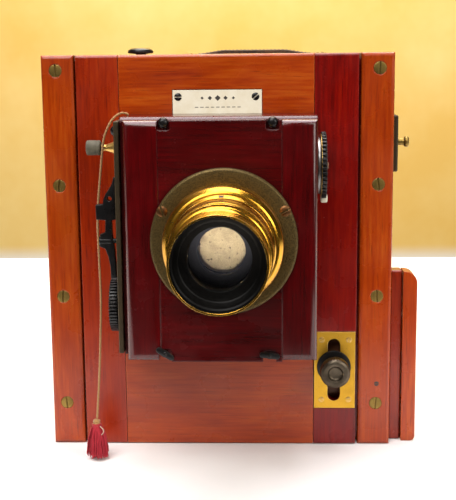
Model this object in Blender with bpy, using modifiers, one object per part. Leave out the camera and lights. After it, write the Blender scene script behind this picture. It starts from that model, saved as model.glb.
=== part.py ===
"""Wooden plate camera with a rising front panel, a roller-blind shutter and a brass lens.

X runs to the right, Y runs from the lens towards the focusing screen, Z is up.
The origin is on the underside of the bed. Lengths below are millimetres and are
turned into metres when a mesh is made.
"""
import math

import bmesh
import bpy
from mathutils import Matrix, Vector

for old in list(bpy.data.objects):
    bpy.data.objects.remove(old, do_unlink=True)

MM = 0.001
GAP = 0.3                 # clearance between neighbouring pieces

# ---------------------------------------------------------------- driving sizes
FRONT = -110.0            # Y of the front face of the guide strips and the panel
HALF_W = 113.0            # half the width of the body
HEIGHT = 259.0            # height of the body
SIDE_IN = 98.0            # inner face of each side wall
BOX_BACK = -43.0          # rear end of the front box
STRIP_IN = 91.7           # inner edge of each guide strip
STRIP_T = 5.0             # thickness of the guide strips
PANEL_T = 9.0             # thickness of the rising panel
BED_BACK = 150.0          # rear end of the bed
BED_T = 12.0              # thickness of the bed
RAIL_TOP = 20.0           # top of the two rails on the bed

LENS_X, LENS_Z = 5.8, 147.2      # optical axis

CASE_X = (-57.2, 62.2)    # shutter case, left and right
CASE_Z = (74.0, 221.4)    # shutter case, bottom and top
BOARD_X = (-54.5, 62.2)   # lens board, left and right
BOARD_Z = (72.3, 219.7)   # lens board, bottom and top
CASE_D = 42.0             # depth of the shutter case
CASE_WALL = 8.0
BOARD_D = 54.0            # front face of the lens board, ahead of the panel

ROLLER_D = 24.0           # both roller axes, ahead of the panel
ROLLER_TOP_Z = 189.7
ROLLER_LOW_Z = 102.1
ROLLER_R = 6.0
SPINDLE_R = 2.0

SCREW_X = 103.5           # guide strip screws
SCREW_Z = (28.6, 101.5, 175.2, 249.2)
SCREW_HEAD_R = 3.95
SCREW_SIDES = 12

SLOT_X, SLOT_W = 75.7, 8.4       # slot for the panel clamp
SLOT_Z = (30.2, 72.8)
CLAMP_Z = 53.7

MODULE = 1.0              # focusing rack and pinion
PINION_TEETH = 12
SHAFT_Y = 77.5
PITCH_LINE_Z = 22.5
SHAFT_Z = PITCH_LINE_Z + MODULE * PINION_TEETH / 2

FRAME_Y = (60.0, 95.0)    # rear frame
SCREEN_Y = (95.5, 107.0)  # focusing screen frame
SCREEN_HINGE = (115.6, 95.3)
LOCK_XY = (-70.6, 77.5)   # turning lock on top of the rear frame
LOCK_R = 24.0             # its stud stands this far from the pivot

parts = bpy.data.collections.new("plate_camera")
helpers = bpy.data.collections.new("cutters")
bpy.context.scene.collection.children.link(parts)
bpy.context.scene.collection.children.link(helpers)


def ahead(d):
    """Y of a plane d in front of the panel's face."""
    return FRONT - d


def behind(d):
    """Y of a plane d behind the panel's face."""
    return FRONT + d


# ------------------------------------------------------------------- materials
def material(name, colour, rough, metal=0.0, **extra):
    mat = bpy.data.materials.new(name)
    mat.use_nodes = True
    shader = mat.node_tree.nodes["Principled BSDF"]
    shader.inputs["Base Color"].default_value = (*colour, 1.0)
    shader.inputs["Roughness"].default_value = rough
    shader.inputs["Metallic"].default_value = metal
    for key, value in extra.items():
        shader.inputs[key.replace("_", " ")].default_value = value
    mat.diffuse_color = (*colour, 1.0)
    return mat


LOOKS = {
    "mahogany": ((0.40, 0.085, 0.022), 0.35, 0.0),
    "mahogany_red": ((0.28, 0.035, 0.012), 0.32, 0.0),
    "maroon": ((0.075, 0.006, 0.008), 0.25, 0.0),
    "inner_wood": ((0.22, 0.075, 0.03), 0.6, 0.0),
    "brass": ((0.80, 0.50, 0.13), 0.30, 1.0),
    "gilt": ((0.90, 0.58, 0.14), 0.20, 1.0),
    "bronze": ((0.32, 0.26, 0.13), 0.45, 1.0),
    "steel": ((0.45, 0.45, 0.46), 0.35, 1.0),
    "blackened": ((0.02, 0.02, 0.022), 0.40, 1.0),
    "olive_plate": ((0.16, 0.15, 0.09), 0.45, 1.0),
    "ivory": ((0.86, 0.82, 0.70), 0.50, 0.0),
    "rubber": ((0.20, 0.20, 0.19), 0.75, 0.0),
    "leather": ((0.05, 0.025, 0.018), 0.60, 0.0),
    "bellows_cloth": ((0.03, 0.025, 0.025), 0.75, 0.0),
    "blind_cloth": ((0.60, 0.47, 0.30), 0.80, 0.0),
    "cord": ((0.42, 0.26, 0.14), 0.85, 0.0),
    "silk": ((0.42, 0.0, 0.02), 0.70, 0.0),
    "glass": ((0.90, 0.93, 0.92), 0.05, 0.0),
    "ground_glass": ((0.80, 0.82, 0.80), 0.45, 0.0),
}


def place(ob, look, cutter=False):
    """Put an object in its collection; every node has a material of its own."""
    if cutter:
        helpers.objects.link(ob)
        ob.hide_render = True
        ob.display_type = "WIRE"
        return ob
    parts.objects.link(ob)
    ob.data.materials.clear()
    ob.data.materials.append(material(ob.name + "_" + look, *LOOKS[look]))
    return ob


def from_bmesh(name, bm, centre, look=None, rotation=None):
    mesh = bpy.data.meshes.new(name)
    bm.to_mesh(mesh)
    bm.free()
    ob = bpy.data.objects.new(name, mesh)
    ob.location = Vector(centre) * MM
    if rotation:
        ob.rotation_euler = rotation
    return place(ob, look, look is None)


TO_AXIS = {                      # turns local +Z to the named direction
    "+Z": (0, 0, 0),
    "-Y": (math.pi / 2, 0, 0),
    "+Y": (-math.pi / 2, 0, 0),
    "+X": (0, math.pi / 2, 0),
    "-X": (0, -math.pi / 2, 0),
}


def box(name, x, y, z, look=None, bevel=0.0, segments=1, edges=None):
    """A box between the given limits; edges picks which edges are rounded."""
    lo = Vector((x[0], y[0], z[0]))
    hi = Vector((x[1], y[1], z[1]))
    centre, size = (lo + hi) / 2, hi - lo
    bm = bmesh.new()
    bmesh.ops.create_cube(bm, size=1.0, matrix=Matrix.Diagonal((*(size * MM), 1.0)))
    if bevel:
        chosen = [e for e in bm.edges if edges is None or edges(e, size * MM / 2)]
        bmesh.ops.bevel(bm, geom=chosen, offset=bevel * MM, segments=segments,
                        profile=0.5, affect="EDGES", clamp_overlap=True)
    return from_bmesh(name, bm, centre, look)


def on_front(edge, half):
    """Edges that lie in the box's face towards -Y."""
    return all(v.co.y < -half.y + 1e-6 for v in edge.verts)


def top_front(edge, half):
    """The edge between the box's face towards -Y and its top."""
    return all(v.co.y < -half.y + 1e-6 and v.co.z > half.z - 1e-6 for v in edge.verts)


def rod(name, axis, centre, length, r, look=None, segments=24, r2=None):
    """A cylinder or cone from centre along the axis."""
    bm = bmesh.new()
    bmesh.ops.create_cone(
        bm, cap_ends=True, segments=segments, radius1=r * MM,
        radius2=(r if r2 is None else r2) * MM, depth=length * MM,
        matrix=Matrix.Translation((0, 0, length * MM / 2)))
    for face in bm.faces:
        face.smooth = len(face.verts) == 4
    return from_bmesh(name, bm, centre, look, TO_AXIS[axis])


def turned(name, profile, axis, centre, look=None, segments=32, ring=False):
    """A profile of (radius, height) pairs turned about the axis.

    The profile runs down the outer side, and a ring's profile closes on itself.
    """
    verts = [(r * MM, 0.0, h * MM) for r, h in profile]
    edges = [(i, i + 1) for i in range(len(verts) - 1)]
    if ring:
        edges.append((len(verts) - 1, 0))
    mesh = bpy.data.meshes.new(name)
    mesh.from_pydata(verts, edges, [])
    ob = bpy.data.objects.new(name, mesh)
    ob.location = Vector(centre) * MM
    ob.rotation_euler = TO_AXIS[axis]
    screw = ob.modifiers.new("turn", "SCREW")
    screw.angle = 2 * math.pi
    screw.steps = screw.render_steps = segments
    screw.use_merge_vertices = True
    screw.merge_threshold = 0.00001
    screw.use_smooth_shade = True
    return place(ob, look, look is None)


PLANES = {
    "XY": Matrix.Identity(3),
    "XZ": Matrix(((1, 0, 0), (0, 0, -1), (0, 1, 0))),
    "YZ": Matrix(((0, 0, 1), (1, 0, 0), (0, 1, 0))),
}


def plate(name, outline, plane, lo, hi, look=None, centre=(0.0, 0.0)):
    """A flat outline given in a plane, filled between lo and hi across it.

    The outline's points are measured from centre, which becomes the origin.
    """
    curve = bpy.data.curves.new(name, "CURVE")
    curve.dimensions = "2D"
    curve.fill_mode = "BOTH"
    curve.extrude = abs(hi - lo) / 2 * MM
    spline = curve.splines.new("POLY")
    spline.points.add(len(outline) - 1)
    for point, (u, v) in zip(spline.points, outline):
        point.co = (u * MM, v * MM, 0.0, 1.0)
    spline.use_cyclic_u = True
    middle = (lo + hi) / 2
    spot = {"XY": (centre[0], centre[1], middle),
            "XZ": (centre[0], middle, centre[1]),
            "YZ": (middle, centre[0], centre[1])}[plane]
    source = bpy.data.objects.new(name + "_outline", curve)
    helpers.objects.link(source)
    source.location = Vector(spot) * MM
    source.rotation_euler = PLANES[plane].to_euler()
    bpy.context.view_layer.update()
    evaluated = source.evaluated_get(bpy.context.evaluated_depsgraph_get())
    mesh = bpy.data.meshes.new_from_object(evaluated)
    mesh.name = name
    bm = bmesh.new()
    bm.from_mesh(mesh)
    bmesh.ops.remove_doubles(bm, verts=bm.verts, dist=1e-6)
    bmesh.ops.recalc_face_normals(bm, faces=bm.faces)
    bm.to_mesh(mesh)
    bm.free()
    ob = bpy.data.objects.new(name, mesh)
    ob.matrix_world = source.matrix_world
    bpy.data.objects.remove(source, do_unlink=True)
    return place(ob, look, look is None)


def boolean(ob, tool, operation):
    mod = ob.modifiers.new(tool.name, "BOOLEAN")
    mod.operation = operation
    mod.object = tool
    mod.solver = "EXACT"


def cut(ob, *tools):
    for tool in tools:
        boolean(ob, tool, "DIFFERENCE")
    return ob


def join(ob, *tools):
    for tool in tools:
        boolean(ob, tool, "UNION")
    return ob


def arc(cx, cy, r, start, end, steps):
    """Points on an arc, angles in degrees, both ends included."""
    return [(cx + r * math.cos(math.radians(start + (end - start) * i / steps)),
             cy + r * math.sin(math.radians(start + (end - start) * i / steps)))
            for i in range(steps + 1)]


def stadium(half_w, lo, hi, steps=8):
    """Upright slot outline with round ends, about x = 0."""
    return (arc(0, hi - half_w, half_w, 0, 180, steps)
            + arc(0, lo + half_w, half_w, 180, 360, steps))


def toothed(r, depth, count, share=0.5):
    """Outline of a wheel with straight-sided teeth."""
    points = []
    for i in range(count):
        a = 360.0 * i / count
        step = 360.0 / count
        for shift, radius in ((-0.42, r - depth), (-share / 2, r), (share / 2, r),
                              (0.42, r - depth)):
            t = math.radians(a + shift * step)
            points.append((radius * math.cos(t), radius * math.sin(t)))
    return points


# ------------------------------------------------------------------- front box
for side, sign in (("left", -1), ("right", 1)):
    outer, inner = sorted((sign * HALF_W, sign * SIDE_IN))
    box(side + "_wall", (outer, inner), (behind(STRIP_T + GAP), BOX_BACK), (0, HEIGHT),
        "mahogany", bevel=0.8)
left_wall, right_wall = parts.objects["left_wall"], parts.objects["right_wall"]

BAFFLE = (PANEL_T + GAP, PANEL_T + GAP + 6.0)       # baffle, behind the panel's face
INNER = SIDE_IN - GAP
top_board = box("top_board", (-INNER, INNER), (behind(BAFFLE[1] + GAP), BOX_BACK),
                (HEIGHT - 10, HEIGHT), "mahogany", bevel=0.6)
baffle = box("baffle_board", (-INNER, INNER), (behind(BAFFLE[0]), behind(BAFFLE[1])),
             (0, HEIGHT), "inner_wood", bevel=0.5)
cut(baffle,
    box("baffle_window", (-60, 60), (behind(BAFFLE[0] - 2), behind(BAFFLE[1] + 2)), (79, 215)),
    rod("bush_hole", "+Y", (SLOT_X, behind(BAFFLE[0] - 2), CLAMP_Z), 10, 6.3))
turned("clamp_bush", [(6.0, 0), (6.0, -6.0), (2.9, -6.0), (2.9, 0)], "-Y",
       (SLOT_X, behind(BAFFLE[0]), CLAMP_Z), "brass", 24, ring=True)

bed = box("bed_board", (-INNER, INNER), (behind(BAFFLE[1] + GAP), BED_BACK), (0, BED_T),
          "mahogany", bevel=0.6)
for sign in (-1, 1):
    lo, hi = sorted((sign * 84.0, sign * (INNER - 0.7)))
    join(bed, box("rail_tool_%d" % sign, (lo, hi), (BOX_BACK + 1, BED_BACK - 1),
                  (BED_T - 1.5, RAIL_TOP)))
TRIPOD_XY, TRIPOD_HALF = (0.0, -62.0), 22.5
cut(bed,
    box("tripod_pocket", (TRIPOD_XY[0] - TRIPOD_HALF - GAP, TRIPOD_XY[0] + TRIPOD_HALF + GAP),
        (TRIPOD_XY[1] - TRIPOD_HALF - GAP, TRIPOD_XY[1] + TRIPOD_HALF + GAP), (-2, 2.8)),
    rod("tripod_bore", "+Z", (*TRIPOD_XY, -2), 12.5, 5.2))
tripod = box("tripod_plate", (TRIPOD_XY[0] - TRIPOD_HALF, TRIPOD_XY[0] + TRIPOD_HALF),
             (TRIPOD_XY[1] - TRIPOD_HALF, TRIPOD_XY[1] + TRIPOD_HALF), (0.0, 2.5), "brass")
cut(tripod, rod("tripod_hole", "+Z", (*TRIPOD_XY, -2), 8, 5.0))

# focusing rack: its tooth gaps line up with the pinion's lowest tooth
PITCH = math.pi * MODULE
RACK_X, RACK_Y = (87.0, 93.0), (-20.0, 130.0)
RACK_BASE = RAIL_TOP + GAP
ADDENDUM, DEDENDUM = 0.8 * MODULE, 1.15 * MODULE
TOOTH_TIP, TOOTH_ROOT = 0.32, 1.02                   # half widths
rack = [(RACK_Y[1], RACK_BASE), (RACK_Y[1], PITCH_LINE_Z - DEDENDUM)]
first = math.ceil((RACK_Y[0] + 2 - SHAFT_Y) / PITCH - 0.5)
last = math.floor((RACK_Y[1] - 2 - SHAFT_Y) / PITCH - 0.5)
for k in range(last, first - 1, -1):
    y = SHAFT_Y + (k + 0.5) * PITCH
    rack += [(y + TOOTH_ROOT, PITCH_LINE_Z - DEDENDUM), (y + TOOTH_TIP, PITCH_LINE_Z + ADDENDUM),
             (y - TOOTH_TIP, PITCH_LINE_Z + ADDENDUM), (y - TOOTH_ROOT, PITCH_LINE_Z - DEDENDUM)]
rack += [(RACK_Y[0], PITCH_LINE_Z - DEDENDUM), (RACK_Y[0], RACK_BASE)]
plate("focus_rack", [(u, v - PITCH_LINE_Z) for u, v in rack], "YZ", *RACK_X, look="brass",
      centre=(0.0, PITCH_LINE_Z))

# guide strips in front of the panel's tongues, with their slotted screws
for side, sign in (("left", -1), ("right", 1)):
    lo, hi = sorted((sign * STRIP_IN, sign * HALF_W))
    strip = box("guide_strip_" + side, (lo, hi), (FRONT, behind(STRIP_T)), (0, HEIGHT),
                "mahogany", bevel=2.0, segments=2, edges=on_front)
    lo, hi = sorted((sign * STRIP_IN, sign * 97.5))
    join(strip, box("groove_foot_" + side, (lo, hi), (behind(STRIP_T - 2), behind(PANEL_T)),
                    (0, 3.2)))
    wall = left_wall if sign < 0 else right_wall
    for i, z in enumerate(SCREW_Z):
        spot = (sign * SCREW_X, FRONT, z)
        tag = "%s_%d" % (side, i + 1)
        sink = turned("countersink_" + tag,
                      [(0, 2), (SCREW_HEAD_R + GAP, 2), (SCREW_HEAD_R + GAP, -0.6), (2.0, -3.1),
                       (2.0, -16.5), (0, -16.5)], "-Y", spot, None, SCREW_SIDES)
        cut(strip, sink)
        cut(wall, sink)
        screw = turned("guide_screw_" + tag,
                       [(0, -0.2), (SCREW_HEAD_R, -0.2), (SCREW_HEAD_R, -0.5), (1.6, -2.9),
                        (1.6, -16.0), (0, -16.0)], "-Y", spot, "brass", SCREW_SIDES)
        slot = box("slot_tool_" + tag, (spot[0] - 0.5, spot[0] + 0.5), (FRONT - 1, FRONT + 1.0),
                   (z - 5, z + 5))
        slot.rotation_euler = (0, math.radians((-5, 3, 6, -3)[i] * sign), 0)
        cut(screw, slot)

# press catch on the right wall
CATCH_Y, CATCH_Z = -89.5, 201.2
catch = box("side_catch_plate", (113.3, 117.2), (-97, -82), (182.0, 218.8), "olive_plate", 0.8)
cut(catch, rod("catch_hole", "+X", (110, CATCH_Y, CATCH_Z), 12, 2.7, segments=20))
cut(right_wall, rod("catch_bore", "+X", (101.4, CATCH_Y, CATCH_Z), 14, 2.7, segments=20))
catch_knob = turned("side_catch_knob",
                    [(0, 12.0), (3.0, 12.0), (3.6, 11.4), (3.6, 9.4), (3.0, 8.8), (2.3, 8.8),
                     (2.3, -8.0), (0, -8.0)], "+X", (HALF_W, CATCH_Y, CATCH_Z), "steel", 20)

# wooden block on the right side: a batten with a thicker cheek outside it
box("side_block_batten", (113.3, 121.2), (-100.0, -88.0), (0, 116.8), "mahogany_red", 0.8)
CHEEK_W, CHEEK_TOP, CHEEK_R = 9.3, 116.5, 8.0
cheek = [(0, 0), (CHEEK_W - 3.2, 0)] + arc(CHEEK_W - 3.2, 3.2, 3.2, -90, 0, 4)[1:] \
    + arc(CHEEK_W - CHEEK_R, CHEEK_TOP - CHEEK_R, CHEEK_R, 0, 84, 6) + [(0, CHEEK_TOP)]
plate("side_block_cheek", cheek, "XZ", -103.0, -88.0, "mahogany", centre=(121.5, 0.0))

# ---------------------------------------------------------------- rising panel
PANEL_Z = (0.5, HEIGHT - 0.2)
panel_board = box("panel_board", (-63.0, 62.0), (FRONT, behind(PANEL_T)), PANEL_Z,
                  "mahogany", bevel=1.5, segments=2, edges=top_front)
cleats = {}
for side, sign, near, far in (("left", -1, 63.3, 90.5), ("right", 1, 62.3, 90.2)):
    lo, hi = sorted((sign * near, sign * far))
    cleat = box("panel_cleat_" + side, (lo, hi), (FRONT, behind(PANEL_T)), PANEL_Z,
                "mahogany_red", bevel=1.5, segments=2, edges=top_front)
    lo, hi = sorted((sign * 89.0, sign * 96.0))
    join(cleat, box("tongue_" + side, (lo, hi), (behind(STRIP_T + 0.4), behind(PANEL_T - 0.5)),
                    (3.6, 255.5)))
    cleats[side] = cleat
PLATE_T, POCKET = 0.9, 1.2
NAME_X, NAME_Z = (-28.5, 28.6), (216.0, 236.3)
cut(panel_board,
    rod("panel_throat", "+Y", (LENS_X, FRONT - 3, LENS_Z), 16, 32.0, segments=40),
    box("name_pocket", (NAME_X[0] - GAP, NAME_X[1] + GAP), (FRONT - 3, FRONT + POCKET),
        (NAME_Z[0] - GAP, NAME_Z[1] + GAP)))
box("name_plate", NAME_X, (FRONT, FRONT + PLATE_T), NAME_Z, "ivory")
slot_outline = stadium(SLOT_W / 2, *SLOT_Z)
slot_cut = plate("clamp_slot", [(u, v - 50) for u, v in slot_outline], "XZ", FRONT - 3,
                 FRONT + 14, None, centre=(SLOT_X, 50.0))
PLATE_X, PLATE_Z = (62.6, 89.7), (25.2, 77.4)
cut(cleats["right"], slot_cut,
    box("slot_pocket", (60.0, PLATE_X[1] + 2.0), (FRONT - 3, FRONT + POCKET),
        (PLATE_Z[0] - GAP, PLATE_Z[1] + GAP)))
cut(box("slot_plate", PLATE_X, (FRONT, FRONT + PLATE_T), PLATE_Z, "brass"), slot_cut)

# clamp that holds the panel at its height
turned("clamp_knob",
       [(0, 18.0), (7.6, 18.0), (9.8, 16.4), (9.8, 10.4), (8.6, 9.2), (4.6, 8.6), (4.2, 2.1),
        (2.5, 2.1), (2.5, -14.5), (0, -14.5)], "-Y", (SLOT_X, FRONT, CLAMP_Z), "bronze", 20)
turned("clamp_washer", [(11.2, 1.7), (11.2, 0.5), (2.9, 0.5), (2.9, 1.7)], "-Y",
       (SLOT_X, FRONT, CLAMP_Z), "blackened", 24, ring=True)

# ------------------------------------------------------- roller-blind shutter
CORD_X = -54.4            # the cord comes out of the top of the case here
case = box("shutter_case", CASE_X, (ahead(CASE_D), ahead(GAP)), CASE_Z, "maroon",
           bevel=3.0, segments=3, edges=top_front)
CAVITY_X = (CASE_X[0] + CASE_WALL, CASE_X[1] - CASE_WALL)
cut(case,
    box("case_cavity", CAVITY_X, (ahead(CASE_D + 4), ahead(5.3)),
        (CASE_Z[0] + CASE_WALL, CASE_Z[1] - CASE_WALL)),
    rod("case_throat", "-Y", (LENS_X, ahead(-4), LENS_Z), 14, 31.0, segments=40),
    rod("top_bearing", "+X", (-55.0, ahead(ROLLER_D), ROLLER_TOP_Z), 125, 2.4, segments=16),
    rod("low_bearing", "+X", (-60.0, ahead(ROLLER_D), ROLLER_LOW_Z), 119, 2.4, segments=16),
    rod("cord_bore", "+Z", (CORD_X, ahead(22), 209), 16, 1.2, segments=12))

BUTTONS = {"left": (-31.0, 77.6, -32.0), "right": (33.1, 76.6, -7.0)}
board = box("lens_board", BOARD_X, (ahead(BOARD_D), ahead(CASE_D + GAP)), BOARD_Z, "maroon",
            bevel=4.5, segments=4, edges=on_front)
cut(board, rod("board_hole", "-Y", (LENS_X, ahead(CASE_D - 3), LENS_Z), 18, 33.6, segments=40))
for side, (x, z, tilt) in BUTTONS.items():
    cut(case, rod("pin_bore_" + side, "-Y", (x, ahead(32), z), 14, 1.3, segments=12))
    cut(board, box("low_notch_" + side, (x - 4, x + 4), (ahead(BOARD_D + 3), ahead(CASE_D - 1)),
                   (BOARD_Z[0] - 4, z + 2.6)))
    button = plate("turn_button_" + side,
                   arc(4.3, 0, 1.9, -90, 90, 6) + arc(-4.3, 0, 1.9, 90, 270, 6), "XZ",
                   ahead(BOARD_D + 2.3), ahead(BOARD_D + GAP), "blackened", centre=(x, z))
    button.rotation_euler.rotate_axis("Z", math.radians(tilt))
    join(button, rod("pin_tool_" + side, "-Y", (x, ahead(33), z), 22, 1.0, segments=12))
for x in (-29.8, 35.2):
    cut(board, box("top_notch_%d" % x, (x - 4, x + 4), (ahead(BOARD_D + 3), ahead(CASE_D - 1)),
                   (BOARD_Z[1] - 5.8, BOARD_Z[1] + 4)))

turned("upper_roller",
       [(0, 70.0), (SPINDLE_R, 70.0), (SPINDLE_R, 53.5), (ROLLER_R, 53.5), (ROLLER_R, -48.2),
        (SPINDLE_R, -48.2), (SPINDLE_R, -54.0), (0, -54.0)], "+X",
       (0, ahead(ROLLER_D), ROLLER_TOP_Z), "inner_wood", 16)
turned("lower_roller",
       [(0, 58.0), (SPINDLE_R, 58.0), (SPINDLE_R, 53.5), (ROLLER_R, 53.5), (ROLLER_R, -44.5),
        (0, -44.5)], "+X", (0, ahead(ROLLER_D), ROLLER_LOW_Z), "inner_wood", 16)
box("shutter_blind", (LENS_X - 41, LENS_X + 41), (ahead(32.9), ahead(32.3)),
    (ROLLER_LOW_Z, ROLLER_TOP_Z), "blind_cloth")

disc = plate("speed_disc", toothed(21.0, 1.6, 24), "YZ", 65.2, 68.2, "blackened",
             centre=(ahead(ROLLER_D), ROLLER_TOP_Z))
join(disc, turned("disc_tool", [(0, 67.0), (6.0, 67.0), (6.0, 64.8), (17.5, 64.8), (17.5, 62.6),
                                (0, 62.6)], "+X", (0, ahead(ROLLER_D), ROLLER_TOP_Z), None, 24))
cut(disc, rod("disc_bore", "+X", (60, ahead(ROLLER_D), ROLLER_TOP_Z), 14, 2.3, segments=16))

plate_side = box("mechanism_plate", (-60.6, -57.5), (ahead(46), ahead(8)), (75.4, 219.0),
                 "olive_plate", bevel=0.4)
LEVER_D, LEVER_Z = 40.0, 145.5
cut(plate_side,
    rod("winder_hole", "+X", (-63, ahead(ROLLER_D), ROLLER_LOW_Z), 12, 2.4, segments=16),
    rod("lever_hole", "+X", (-62, ahead(LEVER_D), LEVER_Z), 12, 1.9, segments=12))
winder = plate("winder_wheel", toothed(17.3, 1.3, 24), "YZ", -67.3, -62.0, "blackened",
               centre=(ahead(ROLLER_D), ROLLER_LOW_Z))
join(winder, turned("winder_tool", [(0, -46.0), (SPINDLE_R, -46.0), (SPINDLE_R, -61.0),
                                    (6.0, -61.0), (6.0, -64.0), (0, -64.0)], "+X",
                    (0, ahead(ROLLER_D), ROLLER_LOW_Z), None, 16))

# a curved bar with a pivot block and a stop block across it, and a hooked plate on top
LEVER = [(-64.9, 122.4), (-61.6, 122.6), (-61.9, 131.2), (-62.5, 141.3), (-63.7, 149.5),
         (-63.8, 158.6), (-61.3, 158.9), (-61.2, 184.7), (-61.9, 184.9), (-62.8, 181.2),
         (-64.7, 178.0), (-66.9, 174.8), (-68.3, 171.4), (-68.8, 168.4), (-73.2, 168.2),
         (-73.1, 159.1), (-67.4, 158.6), (-67.8, 151.0), (-71.0, 149.8), (-71.2, 142.2),
         (-68.0, 140.9), (-66.2, 136.0), (-65.1, 129.5)]
lever = plate("release_lever", [(u, v - LEVER_Z) for u, v in LEVER], "XZ", ahead(LEVER_D + 3),
              ahead(LEVER_D - 3), "blackened", centre=(0.0, LEVER_Z))
join(lever, turned("lever_tool", [(0, -58.0), (1.5, -58.0), (1.5, -64.0), (3.2, -64.0),
                                  (3.2, -71.6), (2.6, -72.0), (0, -72.0)], "+X",
                   (0, ahead(LEVER_D), LEVER_Z), None, 16))
cut(lever, rod("lever_eye", "-Y", (-64.6, ahead(LEVER_D - 6), 171.9), 12, 1.5, segments=12))

HOSE_D, HOSE_Z = 25.0, 201.8
turned("hose_nipple", [(0, -60.9), (5.0, -60.9), (5.0, -61.6), (3.6, -64.0), (2.1, -68.0),
                       (2.1, -71.2), (0, -71.2)], "+X", (0, ahead(HOSE_D), HOSE_Z), "gilt", 16)
turned("hose_stub",
       [(0, -71.5), (4.2, -71.5), (4.7, -72.0), (4.7, -80.5), (2.2, -80.5), (2.2, -74.5),
        (0, -74.5)], "+X", (0, ahead(HOSE_D), HOSE_Z), "rubber", 16)

# ------------------------------------------------------------------------ lens
AXIS = (LENS_X, FRONT, LENS_Z)          # heights below count forward from the panel
LENS_SIDES = 40
turned("lens_flange", [(34.2, 57.8), (43.5, 57.8), (44.5, 56.9), (44.5, 54.3), (34.2, 54.3)],
       "-Y", AXIS, "bronze", LENS_SIDES, ring=True)
turned("lens_barrel",
       [(29.6, 108.0), (29.6, 79.2), (31.8, 79.2), (35.7, 74.5), (35.7, 58.1), (32.9, 58.1),
        (32.9, 38.0), (27.5, 38.0), (27.5, 87.0), (13.7, 87.0), (13.7, 89.0), (20.6, 89.0),
        (20.6, 108.0)], "-Y", AXIS, "gilt", LENS_SIDES, ring=True)
turned("iris_ring", [(30.3, 87.2), (31.2, 85.6), (31.2, 79.6), (29.95, 79.6), (29.95, 87.2)],
       "-Y", AXIS, "gilt", LENS_SIDES, ring=True)
turned("lens_hood",
       [(25.9, 134.0), (27.3, 134.0), (27.3, 112.4), (28.7, 111.2), (28.7, 108.3), (18.0, 108.3),
        (18.0, 114.0), (24.4, 125.0), (25.9, 127.0)], "-Y", AXIS, "gilt", LENS_SIDES, ring=True)
turned("front_glass", [(0, 99.0), (8.0, 98.5), (15.0, 97.0), (20.2, 94.8), (20.2, 92.0), (0, 92.0)],
       "-Y", AXIS, "glass", 24)
turned("rear_glass", [(0, 47.0), (27.1, 47.0), (27.1, 44.0), (18.0, 42.4), (0, 41.8)], "-Y",
       AXIS, "glass", 24)

# -------------------------------------------------------------- cord and tassel
CORD_D = 1.5
# X, distance ahead of the panel, Z
ROUTE = [(CORD_X, 22.0, 221.9), (-55.8, 22.6, 222.8), (-58.4, 23.6, 223.0),
         (-61.4, 24.8, 221.6), (-64.6, 26.2, 218.2), (-67.4, 27.4, 212.6), (-69.6, 28.4, 205.0),
         (-71.9, 29.0, 185.0), (-74.3, 29.0, 159.5), (-74.2, 29.0, 132.0), (-73.9, 29.0, 105.0),
         (-75.8, 29.0, 64.0), (-78.6, 29.0, 27.5)]
CORD_STEP = 3.0 * CORD_D


def smooth_route(points, step):
    """Even points on a Catmull-Rom curve through the given ones."""
    pts = [Vector((x, ahead(d), z)) for x, d, z in points]
    pts = [2 * pts[0] - pts[1]] + pts + [2 * pts[-1] - pts[-2]]
    fine = []
    for p0, p1, p2, p3 in zip(pts, pts[1:], pts[2:], pts[3:]):
        for i in range(24):
            t = i / 24
            fine.append(0.5 * (2 * p1 + (p2 - p0) * t + (2 * p0 - 5 * p1 + 4 * p2 - p3) * t * t
                               + (3 * p1 - p0 - 3 * p2 + p3) * t ** 3))
    fine.append(pts[-2])
    out, run = [fine[0]], 0.0
    total = sum((b - a).length for a, b in zip(fine, fine[1:]))
    count = max(2, round(total / step))
    for a, b in zip(fine, fine[1:]):
        length = (b - a).length
        while len(out) < count and run + length >= total * len(out) / count:
            out.append(a + (b - a) * ((total * len(out) / count - run) / length))
        run += length
    if (out[-1] - fine[-1]).length > step / 3:
        out.append(fine[-1])
    else:
        out[-1] = fine[-1]
    return out


cord_curve = bpy.data.curves.new("shutter_cord", "CURVE")
cord_curve.dimensions = "3D"
cord_curve.bevel_depth = CORD_D / 2 * MM
cord_curve.bevel_resolution = 2
cord_curve.use_fill_caps = True
cord_points = smooth_route(ROUTE, CORD_STEP)
line = cord_curve.splines.new("POLY")
line.points.add(len(cord_points) - 1)
for point, at in zip(line.points, cord_points):
    point.co = (*(at * MM), 1.0)
place(bpy.data.objects.new("shutter_cord", cord_curve), "cord")
turned("cord_tassel", [(0, 27.0), (2.4, 26.6), (3.2, 24.4), (3.4, 22.6), (5.2, 18.0), (6.6, 10.0),
                       (7.8, 2.4), (7.2, 1.2), (0, 1.2)], "+Z", (-79.0, ahead(29.0), 0), "silk",
       16)

# ------------------------------------------------------------ focusing carriage
carriage = box("carriage", (-83.5, 83.5), (62.0, 93.0), (BED_T + 0.4, 36.0), "inner_wood", 0.6)
cut(carriage, rod("shaft_bore", "+X", (-90, SHAFT_Y, SHAFT_Z), 180, 3.4, segments=20))
frame = box("rear_frame", (-HALF_W, HALF_W), FRAME_Y, (36.3, HEIGHT), "mahogany", bevel=1.0)
cut(frame,
    box("frame_window", (-88, 88), (FRAME_Y[0] - 4, FRAME_Y[1] + 4), (84, 210)),
    rod("lock_bore", "+Z", (*LOCK_XY, 247), 14, 3.4, segments=16))

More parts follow.
